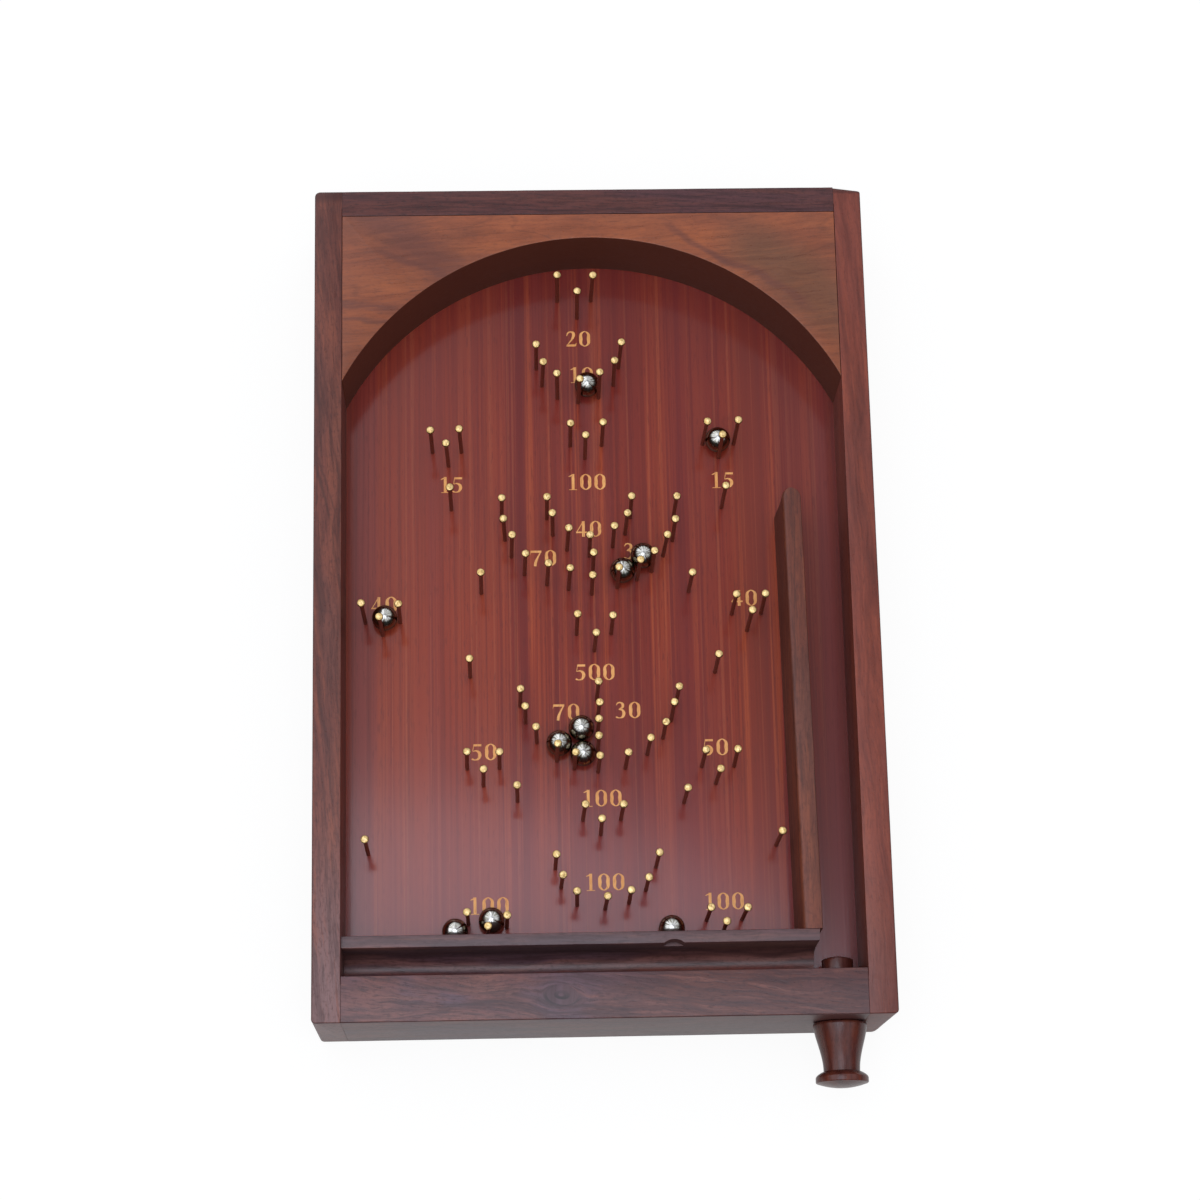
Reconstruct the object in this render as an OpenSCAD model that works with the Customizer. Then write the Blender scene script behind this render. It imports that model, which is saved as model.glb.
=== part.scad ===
// Tabletop pinball game: a wooden tray with brass nails, loose steel balls and a sprung wooden plunger.
// The tray lies flat, +Z is up, the curved end points to +Y and the plunger's knob points to -Y.

/* [Case] */
// Width over both side rails
case_w = 207.2; // [202:0.1:220]
// Length over the top and front rails, without the knob
case_len = 315.2; // [313:0.1:330]
// Height of the rails
case_h = 50; // [48:1:60]
// Thickness of each side rail
side_rail_t = 10.3; // [9:0.1:11]
// Thickness of the top rail
top_rail_t = 10; // [7:0.5:11]
// Thickness of the front rail, which carries the plunger
front_rail_t = 16.5; // [16:0.5:17.5]
// Radius of the eased long edges of the rails
edge_r = 0.8; // [0.4:0.1:2]
// Radius of the case's near corner beside the knob, seen from above
near_right_r = 1.6; // [0.5:0.1:5]
// Radius of the case's near corner on the left
near_left_r = 1.4; // [0.5:0.1:5]
// Radius of the case's two far corners
far_corner_r = 1; // [0.5:0.1:5]
// How far out of square the right rail's far end is sawn
right_end_skew = 1.4; // [0:0.1:2]

/* [Playing field] */
// Height of the field above the table
field_z = 19; // [18:0.5:20]
// Thickness of the field board
field_t = 9; // [8:0.5:10]
// Depth of the groove that holds the field board in each rail
groove_depth = 3; // [2:0.5:4]
// Radius of the arch that turns the ball at the top
arch_r = 105.2; // [103:0.1:110]
// Distance from the top of the arch to the case's far face
arch_crown = 19.8; // [17:0.1:24]

/* [Mouldings] */
// Height of the mouldings and nails above the field
fence_h = 28; // [26:0.5:29]
// Width of the shooter's lane at its near end
lane_w = 15.1; // [14:0.1:16]
// Width of the lane divider's top
divider_w = 6.9; // [5:0.1:7.5]
// Extra width of the divider's foot, on the field side
divider_foot = 0.7; // [0:0.1:1.5]
// Length of the lane divider
divider_len = 165; // [140:1:170]
// Lean of the divider away from the lane, in degrees
divider_skew = 0.6; // [0:0.1:0.8]
// Width of the ball channel in the trough moulding
channel_w = 10.3; // [10:0.1:11]
// Height of the channel's lowest line above the field
channel_rise = 7; // [5:0.5:9]
// Width of the flat ledge beside the channel
ledge_w = 4.4; // [4:0.1:6]

/* [Nails] */
// Diameter of a nail's shank
nail_d = 1.5; // [1.2:0.1:1.6]
// Diameter of a nail's head
nail_head_d = 3; // [2.4:0.1:3]
// Height of a nail's head
nail_head_h = 1.1; // [0.8:0.1:1.4]
// Depth that a nail is driven into the board
nail_sunk = 7; // [5:0.5:7.5]

/* [Balls] */
// Diameter of a ball
ball_d = 9.5; // [9:0.1:9.5]

/* [Plunger] */
// Distance of the plunger's axis from the right rail
plunger_inset = 8.6; // [8:0.1:9]
// Height of the plunger's axis above the field
plunger_rise = 9.5; // [9:0.1:10]
// Diameter of the rod
rod_d = 6; // [5:0.1:6]
// Gap all round the rod in the rail
rod_gap = 0.05; // [0.03:0.01:0.1]
// Length of the knob
knob_len = 23.4; // [20:0.1:26]
// Largest diameter of the knob, next to the rail
knob_bulge_d = 19.4; // [17:0.1:20]
// Diameter of the knob's neck
knob_neck_d = 13.1; // [11:0.1:14]
// Diameter of the knob's end flange
knob_flange_d = 19; // [16:0.1:20]
// Diameter of the head that strikes the ball
head_d = 11.3; // [11:0.1:11.6]
// Length of the striking head
head_len = 6.1; // [5:0.1:6.5]
// Distance that the head stands out of the rail at rest
head_out = 7.2; // [6.5:0.1:7.5]
// Diameter of the spring's wire
wire_d = 0.7; // [0.6:0.05:0.8]
// Mean diameter of the spring
spring_d = 9.2; // [8.6:0.1:9.4]
// Number of turns of the spring
spring_turns = 5; // [4:1:6]

/* [Hidden] */

// Overlap that keeps a cut from ending on a face
over = 1;
// The origin is under the middle of the whole outline, the knob included
front_y = -(case_len - knob_len) / 2;
inner_x = case_w / 2 - side_rail_t;
top_inner_y = case_len - top_rail_t;
field_bottom_z = field_z - field_t;
fence_z = field_z + fence_h;
arch_centre_y = case_len - arch_crown - arch_r;

// Trough moulding and lane divider
trough_w = channel_w + ledge_w;
trough_back_y = front_rail_t + trough_w;
channel_r = channel_w / 2;
channel_z = field_z + channel_rise + channel_r;
trough_end_front_x = 76;
trough_end_back_x = 77.1;
nick_r = 5.4;
nick_depth = 1.3;
nick_x = 24.5;
nick_h = 7;
divider_lane_x = inner_x - lane_w;
divider_edge_r = 1.5;

// Plunger
rod_r = rod_d / 2;
plunger_x = inner_x - plunger_inset;
plunger_z = field_z + plunger_rise;
spring_room_r = head_d / 2 + 0.2;
spring_seat_y = 3.5;
head_front_y = front_rail_t + head_out;
head_back_y = head_front_y - head_len;
head_dome = 1.2;
rod_in_head = 3;
rod_in_knob = 14;
knob_gap = 0.1;
knob_dome = 1.6;
knob_shoulder_r = 0.9;
knob_bulge_y = 1;
knob_neck_y = 17.2;
knob_flare_y = 17.6;
knob_flange_y = 20.1;
knob_rim_r = 0.5;

// Nail places: a cup is two nails side by side with one below, a bowl hangs as half an ellipse
function cup(x, y, half_w, drop, lean = 0) =
    [[x - half_w, y], [x + half_w, y], [x + lean, y - drop]];
function bowl(x, y, left_w, right_w, depth, count) =
    [for (i = [0:count - 1])
        let (turn = -90 + 180 * i / (count - 1), reach = turn < 0 ? left_w : right_w)
            [x + reach * sin(turn), y - depth * cos(turn)]];
function column(x, y, step, count) = [for (i = [0:count - 1]) [x, y + step * i]];
// Nails tapped in by eye: each move is a nail's place in its row and how far it stands off the line
function nudged(spots, moves) =
    [for (i = [0:len(spots) - 1])
        let (off = [for (move = moves) if (move[0] == i) [move[1], move[2]]])
            len(off) > 0 ? spots[i] + off[0] : spots[i]];

top_cup = cup(-5.5, 282, 6.5, 7, 1);
upper_bowl = bowl(-4.7, 254.4, 15.8, 15.8, 14, 7);
upper_cups = concat(cup(-2, 223, 6, 5, -0.5), cup(-55, 221, 5.5, 5.5, 0.5), cup(48.5, 223, 6, 5.5));
outer_bowl = nudged(bowl(-1, 193.3, 33.5, 31.5, 29.3, 13),
                    [[2, -1, 0.5], [3, -1.5, -0.5], [5, 0, 1], [7, 1.5, 1.5], [8, 1.5, 1.5], [9, 0.5, 0],
                     [11, 0.5, -1]]);
outer_funnel = concat(outer_bowl, [[-0.5, 171.8]]);
inner_funnel = nudged(bowl(-1.6, 194, 15.8, 15.8, 15, 7), [[1, 0, 1], [2, -0.5, 0.5], [4, 1, 1.5], [5, 0, 1]]);
middle_cups = concat(cup(-79.5, 154, 6.5, 5), cup(57, 155.5, 5.5, 6.5), cup(-0.5, 148.5, 6.5, 6.5));
lower_funnel = nudged(bowl(0, 121, 28.5, 29.5, 25.4, 11),
                      [[1, 0.5, 1.5], [2, 0.5, 1], [3, 1.5, -0.5], [6, 1, 0], [7, 1, 1.5], [8, 0.5, 2],
                       [9, -0.5, 1.5]]);
centre_column = nudged(column(0, 102.5, 6.85, 4), [[0, 0, 0.5], [2, 0, -1]]);
lower_cups = concat(cup(-42.5, 97.5, 6, 6.5), cup(44.5, 97, 6, 6.5, -1), cup(1, 77.5, 7, 5.5, -0.5));
bottom_bowl = nudged(bowl(2, 59.5, 18.5, 18.5, 15.2, 7),
                     [[1, -0.5, 0.5], [2, -1.5, -0.5], [3, -0.5, 0], [4, -1, 0], [5, -1.5, -1]]);
bottom_cups = concat(nudged(cup(-41.5, 39, 7, 4.5), [[0, 0, 0.5], [1, 0, -1]]), cup(45, 39.5, 6.5, 5.5, -1));
guides = [[-53.5, 198], [49, 197.5], [-42.5, 165], [35.5, 164.5], [44.5, 133],
          [-47, 132.5], [-30, 85], [31.5, 83.5], [65, 67], [-85, 66]];
all_nails = concat(top_cup, upper_bowl, upper_cups, outer_funnel, inner_funnel, middle_cups, lower_funnel,
                   centre_column, lower_cups, bottom_bowl, bottom_cups, guides);

// Resting places of the balls on the field, and the hair's breadth under each
ball_places = [[-1.2, 246], [48.1, 223.1], [-78.6, 154.5], [18.5, 177.5], [10.7, 171.8], [-6, 111.2],
               [-14.3, 105.6], [-5.5, 101.6], [-40, 39.9], [-53.3, 36], [25.5, 36]];
ball_gap = 0.02;

// Spring tube: rings of points along the coil
spring_from_y = spring_seat_y + wire_d / 2;
spring_to_y = head_back_y - wire_d / 2;
spring_steps = 24;
spring_sides = 8;
spring_rings = spring_turns * spring_steps;
spring_pitch = (spring_to_y - spring_from_y) / spring_turns;

rail_color = [0.36, 0.17, 0.15];
arch_color = [0.58, 0.35, 0.25];
field_color = [0.48, 0.24, 0.21];
fence_color = [0.3, 0.2, 0.18];
brass_color = [0.85, 0.72, 0.42];
steel_color = [0.7, 0.7, 0.72];
knob_color = [0.3, 0.14, 0.12];

// Moves a piece drawn from the front rail's outer face to its place about the origin
module placed() {
    translate([0, front_y, 0])
        children();
}

// A box given by its low and high corners
module block(low, high) {
    translate(low)
        cube(high - low);
}

// Square-cornered section with its four corners eased by arcs
module eased_section(w, h) {
    translate([edge_r, 0])
        square([w - 2 * edge_r, h]);
    translate([0, edge_r])
        square([w, h - 2 * edge_r]);
    for (x = [edge_r, w - edge_r], y = [edge_r, h - edge_r])
        translate([x, y])
            circle(r = edge_r, $fn = 32);
}

// The room that the field board takes up, cut from the rails as their groove
module field_blank() {
    block([-inner_x - groove_depth, front_rail_t - groove_depth, field_bottom_z],
          [inner_x + groove_depth, top_inner_y + groove_depth, field_z]);
}

// What is rubbed off an upright corner of the case: a square block less the round that stays.
// Side is 1 on the right and -1 on the left, and y is the end face that the corner belongs to
module corner_waste(side, y, r) {
    centre = [side * (case_w / 2 - r), y == 0 ? r : y - r];
    beyond = [side * (case_w / 2 + over), y == 0 ? -over : y + over];
    difference() {
        block([min(centre.x, beyond.x), min(centre.y, beyond.y), -over],
              [max(centre.x, beyond.x), max(centre.y, beyond.y), case_h + over]);
        translate([centre.x, centre.y, -2 * over])
            cylinder(r = r, h = case_h + 4 * over, $fn = 64);
    }
}

// A rail along Y, from the front face to the far face, whose outer far corner stands back by the skew
module side_rail(side, near_r, end_skew) {
    difference() {
        translate([side < 0 ? -case_w / 2 : inner_x, case_len, 0])
            rotate([90, 0, 0])
                linear_extrude(case_len)
                    eased_section(side_rail_t, case_h);
        field_blank();
        corner_waste(side, 0, near_r);
        corner_waste(side, case_len - end_skew, far_corner_r);
    }
}

module left_rail() {
    color(rail_color)
        placed()
            side_rail(-1, near_left_r, 0);
}

module right_rail() {
    color(rail_color)
        placed()
            difference() {
                side_rail(1, near_right_r, right_end_skew);
                translate([inner_x, case_len, -over])
                    linear_extrude(case_h + 2 * over)
                        polygon([
                            [0, 0],
                            [side_rail_t, -right_end_skew],
                            [side_rail_t + over, -right_end_skew],
                            [side_rail_t + over, over],
                            [0, over]]);
            }
}

// A rail along X that fits between the side rails
module cross_rail(y, t) {
    translate([-inner_x, y + t, 0])
        rotate([90, 0, 90])
            mirror([1, 0, 0])
                linear_extrude(2 * inner_x)
                    eased_section(t, case_h);
}

module top_rail() {
    color(rail_color)
        placed()
            difference() {
                cross_rail(top_inner_y, top_rail_t);
                field_blank();
            }
}

module front_rail() {
    color(rail_color)
        placed()
            difference() {
                cross_rail(0, front_rail_t);
                field_blank();
                along_plunger(-over)
                    cylinder(r = rod_r + rod_gap, h = front_rail_t + 2 * over, $fn = 48);
                along_plunger(spring_seat_y)
                    cylinder(r = spring_room_r, h = front_rail_t - spring_seat_y + over, $fn = 64);
            }
}

module playfield() {
    color(field_color)
        placed()
            difference() {
                field_blank();
                for (spot = all_nails)
                    translate([spot.x, spot.y, field_z - nail_sunk])
                        cylinder(d = nail_d, h = nail_sunk + over, $fn = 24);
            }
}

module arch_block() {
    color(arch_color)
        placed()
            difference() {
                block([-inner_x, arch_centre_y, field_z], [inner_x, top_inner_y, case_h]);
                translate([0, arch_centre_y, field_z - over])
                    cylinder(r = arch_r, h = case_h, $fn = 128);
            }
}

// Section of the trough moulding across its length: a ledge beside a round-bottomed channel
module trough_section() {
    difference() {
        square([trough_w, fence_h]);
        translate([channel_r, channel_z - field_z])
            circle(r = channel_r, $fn = 64);
        translate([-over, channel_z - field_z])
            square([channel_w + over, fence_h]);
    }
}

module trough_moulding() {
    color(fence_color)
        placed()
            difference() {
                intersection() {
                    translate([-inner_x, front_rail_t, field_z])
                        rotate([90, 0, 90])
                            linear_extrude(case_w)
                                trough_section();
                    linear_extrude(case_h)
                        polygon([[-inner_x, front_rail_t], [trough_end_front_x, front_rail_t],
                                 [trough_end_back_x, trough_back_y], [-inner_x, trough_back_y]]);
                }
                translate([nick_x, front_rail_t + channel_w + nick_depth - nick_r, fence_z - nick_h])
                    cylinder(r = nick_r, h = nick_h + over, $fn = 48);
            }
}

// Section of the lane divider: upright on the lane side, a wider foot and a rounded edge on the other
module divider_section() {
    top_left = -divider_w;
    difference() {
        polygon([[0, 0], [0, fence_h], [top_left, fence_h], [top_left, fence_h / 2],
                 [top_left - divider_foot, 0]]);
        translate([top_left, fence_h - divider_edge_r])
            difference() {
                translate([-over, 0])
                    square([over + divider_edge_r, over + divider_edge_r]);
                translate([divider_edge_r, 0])
                    circle(r = divider_edge_r, $fn = 32);
            }
    }
}

module lane_divider() {
    end_r = (divider_w + divider_foot) / 2;
    color(fence_color)
        placed()
            translate([divider_lane_x, trough_back_y, field_z])
                intersection() {
                    rotate([0, 0, divider_skew])
                        intersection() {
                            translate([0, divider_len, 0])
                                rotate([90, 0, 0])
                                    linear_extrude(divider_len + over)
                                        divider_section();
                            divider_plan(end_r);
                        }
                    block([-case_w, 0, -over], [case_w, case_len, case_h]);
                }
}

// Outline of the divider from above, with a rounded far end
module divider_plan(end_r) {
    block([-2 * end_r, -over, -over], [0, divider_len - end_r, case_h]);
    translate([-end_r, divider_len - end_r, -over])
        cylinder(r = end_r, h = case_h + over, $fn = 64);
}

// A nail: a straight shank and a low domed head
module nail(spot) {
    rim_h = nail_head_h / 3;
    dome_h = nail_head_h - rim_h;
    dome_r = (pow(nail_head_d / 2, 2) + pow(dome_h, 2)) / (2 * dome_h);
    translate([spot.x, spot.y, 0]) {
        translate([0, 0, field_z - nail_sunk])
            cylinder(d = nail_d, h = nail_sunk + fence_h - nail_head_h / 2, $fn = 24);
        intersection() {
            translate([0, 0, fence_z - nail_head_h])
                cylinder(d = nail_head_d, h = nail_head_h, $fn = 32);
            translate([0, 0, fence_z - dome_r])
                sphere(r = dome_r, $fn = 64);
        }
    }
}

// The nails of one group
module nails(spots) {
    color(brass_color)
        placed()
            for (spot = spots)
                nail(spot);
}

// Turns a piece drawn along Z so that it runs inwards along the plunger's axis from y
module along_plunger(y) {
    translate([plunger_x, y, plunger_z])
        rotate([-90, 0, 0])
            children();
}

// Half outline of the turned knob from the rail outwards: radius against distance
function knob_waist(t) = (knob_neck_d + (knob_bulge_d - knob_neck_d) * pow(1 - pow(t, 1.5), 2)) / 2;
function knob_flare(t) = (knob_neck_d + (knob_flange_d - knob_neck_d) * (1 - pow(1 - t, 2))) / 2;
knob_dome_r = (pow(knob_flange_d / 2 - knob_rim_r, 2) + pow(knob_dome, 2)) / (2 * knob_dome);
knob_dome_turn = asin((knob_flange_d / 2 - knob_rim_r) / knob_dome_r);
knob_outline = concat(
    [[rod_r, knob_gap]],
    [for (a = [0:15:90])
        [knob_bulge_d / 2 - knob_shoulder_r * (1 - sin(a)), knob_gap + knob_bulge_y * (1 - cos(a))]],
    [for (t = [0.1:0.1:1]) [knob_waist(t), knob_bulge_y + (knob_neck_y - knob_bulge_y) * t]],
    [for (t = [0:0.2:1]) [knob_flare(t), knob_flare_y + (knob_flange_y - knob_flare_y) * t]],
    [[knob_flange_d / 2, knob_len - knob_dome - knob_rim_r]],
    [for (t = [0:0.2:1])
        [knob_dome_r * sin(knob_dome_turn * (1 - t)),
         knob_len - knob_dome_r * (1 - cos(knob_dome_turn * (1 - t)))]],
    [[0, rod_in_knob], [rod_r, rod_in_knob]]);

module plunger_knob() {
    color(knob_color)
        placed()
            along_plunger(0)
                mirror([0, 0, 1])
                    rotate_extrude($fn = 96)
                        polygon(knob_outline);
}

module plunger_rod() {
    color(knob_color)
        placed()
            along_plunger(-rod_in_knob)
                cylinder(r = rod_r, h = rod_in_knob + head_back_y + rod_in_head, $fn = 48);
}

// Striking head: a short drum with a slightly domed face and a socket for the rod
module plunger_head() {
    dome_r = (pow(head_d / 2, 2) + pow(head_dome, 2)) / (2 * head_dome);
    color(knob_color)
        placed()
            along_plunger(head_back_y)
                difference() {
                    intersection() {
                        cylinder(d = head_d, h = head_len, $fn = 64);
                        translate([0, 0, head_len - dome_r])
                            sphere(r = dome_r, $fn = 128);
                    }
                    translate([0, 0, -over])
                        cylinder(r = rod_r, h = rod_in_head + over, $fn = 48);
                }
}

// One point of the spring's tube: ring number along the coil, side number round the wire
function spring_point(ring, side) =
    let (turn = 360 * ring / spring_steps, around = 360 * side / spring_sides,
         out = spring_d / 2 + wire_d / 2 * cos(around),
         along = spring_pitch * ring / spring_steps + wire_d / 2 * sin(around))
        [out * cos(turn), out * sin(turn), along];
function spring_centre(ring) =
    let (turn = 360 * ring / spring_steps)
        [spring_d / 2 * cos(turn), spring_d / 2 * sin(turn), spring_pitch * ring / spring_steps];
// Least gap between two turns, measured between the rings' centres at least half a turn apart
spring_gap = min([for (near = [0:spring_rings], far = [near + spring_steps / 2:spring_rings])
    norm(spring_centre(far) - spring_centre(near))]) - wire_d;
echo(least_gap_between_spring_turns = spring_gap);
spring_points = [for (ring = [0:spring_rings], side = [0:spring_sides - 1]) spring_point(ring, side)];
spring_walls = [for (ring = [0:spring_rings - 1], side = [0:spring_sides - 1])
    let (next = (side + 1) % spring_sides, near = ring * spring_sides, far = near + spring_sides)
        [near + side, far + side, far + next, near + next]];
spring_start = [for (side = [0:spring_sides - 1]) side];
spring_end = [for (side = [spring_sides - 1:-1:0]) spring_rings * spring_sides + side];

module plunger_spring() {
    color(steel_color)
        placed()
            along_plunger(spring_from_y)
                polyhedron(points = spring_points, faces = concat(spring_walls, [spring_start, spring_end]),
                           convexity = 8);
}

// A loose ball at its place in the list, counted from one
module ball(number) {
    spot = ball_places[number - 1];
    color(steel_color)
        placed()
            translate([spot.x, spot.y, field_z + ball_gap + ball_d / 2])
                sphere(d = ball_d, $fn = 64);
}

left_rail();
right_rail();
top_rail();
front_rail();
playfield();
arch_block();
trough_moulding();
lane_divider();
nails(top_cup);  // nails_top_cup
nails(upper_bowl);  // nails_upper_bowl
nails(upper_cups);  // nails_upper_cups
nails(outer_funnel);  // nails_outer_funnel
nails(inner_funnel);  // nails_inner_funnel
nails(middle_cups);  // nails_middle_cups
nails(lower_funnel);  // nails_lower_funnel
nails(centre_column);  // nails_centre_column
nails(lower_cups);  // nails_lower_cups
nails(bottom_bowl);  // nails_bottom_bowl
nails(bottom_cups);  // nails_bottom_cups
nails(guides);  // nails_guides
plunger_knob();
plunger_rod();
plunger_head();
plunger_spring();
ball(1);  // ball_1
ball(2);  // ball_2
ball(3);  // ball_3
ball(4);  // ball_4
ball(5);  // ball_5
ball(6);  // ball_6
ball(7);  // ball_7
ball(8);  // ball_8
ball(9);  // ball_9
ball(10);  // ball_10
ball(11);  // ball_11
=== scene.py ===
import bmesh
import bpy
import numpy as np
from mathutils import Euler, Matrix, Vector


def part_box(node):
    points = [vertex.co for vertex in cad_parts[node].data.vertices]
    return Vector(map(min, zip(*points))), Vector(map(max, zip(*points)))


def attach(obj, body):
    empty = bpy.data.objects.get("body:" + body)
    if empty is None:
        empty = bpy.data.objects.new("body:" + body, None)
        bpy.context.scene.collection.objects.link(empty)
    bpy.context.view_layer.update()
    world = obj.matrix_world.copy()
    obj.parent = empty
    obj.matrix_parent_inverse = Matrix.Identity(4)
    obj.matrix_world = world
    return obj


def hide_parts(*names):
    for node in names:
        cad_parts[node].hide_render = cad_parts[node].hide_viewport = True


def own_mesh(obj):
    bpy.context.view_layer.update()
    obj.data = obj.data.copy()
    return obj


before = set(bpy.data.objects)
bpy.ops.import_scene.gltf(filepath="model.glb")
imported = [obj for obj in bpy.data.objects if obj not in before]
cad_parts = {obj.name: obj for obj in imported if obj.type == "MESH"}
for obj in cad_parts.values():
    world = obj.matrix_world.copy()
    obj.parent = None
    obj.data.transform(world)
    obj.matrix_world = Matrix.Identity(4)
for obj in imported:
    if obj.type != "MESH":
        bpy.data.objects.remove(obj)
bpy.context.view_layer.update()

# The view: the game lies on a white table and is seen from nearly straight above, from a little
# in front of the knob. The camera's place is given from the middle of the front rail's outer face.
MM = 0.001
front_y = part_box("front_rail")[0][1]
focal_length = 89.96
camera_turn = Euler(np.radians((-15.732, 1.379, 1.211)), "ZYX").to_matrix()
camera_reach = Vector((0.88, -160.76, -1103.2)) * MM


def bench_place(x, y, z):
    """A place measured in millimetres from the front rail's outer face, in the frame's metres."""
    return Vector((x * MM, front_y + y * MM, z * MM))


def new_object(name, data):
    """An object of that data, put into the scene."""
    made = bpy.data.objects.new(name, data)
    bpy.context.scene.collection.objects.link(made)
    return made


camera_data = bpy.data.cameras.new("camera")
camera_data.sensor_width = 36
camera_data.lens = focal_length
camera_data.clip_start = 0.05
camera_data.clip_end = 20
camera = new_object("camera", camera_data)
to_front_rail = Matrix.Translation((0, -front_y, 0))
seen_from_camera = Matrix.Translation(camera_reach) @ camera_turn.to_4x4() @ to_front_rail
camera.matrix_world = seen_from_camera.inverted()
bpy.context.scene.camera = camera
bpy.context.scene.view_settings.view_transform = "Standard"

# The table and the light: a white table top, an even bright room and one large soft lamp high above
# the front rail. What the lacquer and the steel mirror is a wide pale patch of ceiling behind the game,
# dimmer straight overhead, brighter towards both sides and crossed by a darker strip, in a dark room.
table_size = 3.0
table_white = 0.82
table_glow = 1.05
table_seen = 0.86
table_mirrored = 0.52
ceiling_bright = 0.64
ceiling_dim = 0.34
ceiling_edge = 0.04
ceiling_tint = (0.94, 0.97, 1.06, 1)
ceiling_way = (0.0, 0.30, 0.954)
room_top = 0.98
room_side = 0.12
lamp_power = 4.6
lamp_size = 0.9
lamp_tint = (0.88, 0.95, 1.10)
lamp_place = bench_place(-90, -60, 1350)

floor_mesh = bpy.data.meshes.new("table_top")
half = table_size / 2
table_corners = [(-half, -half, 0), (half, -half, 0), (half, half, 0), (-half, half, 0)]
floor_mesh.from_pydata(table_corners, [], [(0, 1, 2, 3)])
new_object("table_top", floor_mesh)


class Grain:
    """A value in a material: it wraps a socket, and sums and products of it add their Math nodes."""

    def __init__(self, tree, socket=None):
        self.tree = tree
        self.socket = socket

    def node(self, kind, settings=(), inputs=(), output=0):
        """Adds a node of that type: its settings come first, then its sockets' values or links."""
        new = self.tree.nodes.new(kind)
        for name, value in dict(settings).items():
            if name == "stops":
                ramp = new.color_ramp
                while len(ramp.elements) < len(value):
                    ramp.elements.new(0.5)
                for element, (place, colour) in zip(ramp.elements, value):
                    element.position = place
                    element.color = (*colour, 1)
            else:
                setattr(new, name, value)
        for name, value in dict(inputs).items():
            if isinstance(value, Grain):
                self.tree.links.new(value.socket, new.inputs[name])
            else:
                new.inputs[name].default_value = value
        return Grain(self.tree, new.outputs[output] if new.outputs else None)

    def maths(self, operation, first, second):
        return self.node("ShaderNodeMath", {"operation": operation}, {0: first, 1: second})

    def __add__(self, other):
        return self.maths("ADD", self, other)

    def __sub__(self, other):
        return self.maths("SUBTRACT", self, other)

    def __rsub__(self, other):
        return self.maths("SUBTRACT", other, self)

    def __mul__(self, other):
        return self.maths("MULTIPLY", self, other)

    def __rtruediv__(self, other):
        return self.maths("DIVIDE", other, self)

    def __pow__(self, other):
        return self.maths("POWER", self, other)

    def __abs__(self):
        return self.maths("ABSOLUTE", self, 0)

    __radd__ = __add__
    __rmul__ = __mul__

    def part(self, axis):
        """The x, y or z of this vector, for axis 0, 1 or 2."""
        return self.node("ShaderNodeSeparateXYZ", {}, {0: self}, axis)

    def between(self, low, high):
        """0 up to low and 1 from high on, with a soft step between them."""
        return self.node("ShaderNodeMapRange", {"interpolation_type": "SMOOTHSTEP"}, {0: self, 1: low, 2: high})

    def blend(self, first, second):
        """The first colour where this value is 0, the second where it is 1."""
        first, second = [tone if isinstance(tone, Grain) else (*tone, 1) for tone in (first, second)]
        return self.node("ShaderNodeMix", {"data_type": "RGBA"}, {0: self, 6: first, 7: second}, 2)

    def coated(self, *coats):
        """This colour under thin coats, each given by where it lies, how strong it is and its tone."""
        colour = self
        for where, strength, tone in coats:
            colour = (where * strength).blend(colour, tone)
        return colour

    def mapped(self, move=(0, 0, 0), turn=0.0, scale=(1, 1, 1)):
        """This place scaled, turned about the upright axis and moved, in that order."""
        return self.node("ShaderNodeMapping", {}, {0: self, 1: move, 2: (0, 0, turn), 3: scale})

    def noise(self, scale, detail=2.0, rough=0.5):
        """Soft noise between 0 and 1, read at this place."""
        return self.node("ShaderNodeTexNoise", {}, {"Vector": self, "Scale": scale, "Detail": detail,
                                                    "Roughness": rough})


def blank_material(name):
    """An empty material and the first link of its node tree."""
    material = bpy.data.materials.new(name)
    material.use_nodes = True
    material.node_tree.nodes.clear()
    return material, Grain(material.node_tree)


table_material, start = blank_material("table_white")
seen = start.node("ShaderNodeLightPath", output="Is Camera Ray")
mirrored = start.node("ShaderNodeLightPath", output="Is Glossy Ray")
through = start.node("ShaderNodeLightPath", output="Is Transmission Ray")
looked_at = start.maths("MAXIMUM", start.maths("MAXIMUM", seen, mirrored * table_mirrored), through)
matt = start.node("ShaderNodeBsdfDiffuse", {}, {0: (table_white, table_white, table_white, 1)})
glow = start.node("ShaderNodeEmission", {}, {0: (1, 1, 1, 1), 1: table_glow})
white_top = start.node("ShaderNodeMixShader", {}, {0: looked_at * table_seen, 1: matt, 2: glow})
start.node("ShaderNodeOutputMaterial", {}, {0: white_top})
floor_mesh.materials.append(table_material)

room = bpy.data.worlds.new("room")
room.use_nodes = True
room.node_tree.nodes.clear()
start = Grain(room.node_tree)
way = start.node("ShaderNodeTexCoord", output="Generated")
rightward, backward, upward = [way.part(axis) for axis in range(3)]
faced = start.node("ShaderNodeVectorMath", {"operation": "DOT_PRODUCT"}, {0: way, 1: ceiling_way}, "Value")

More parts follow.
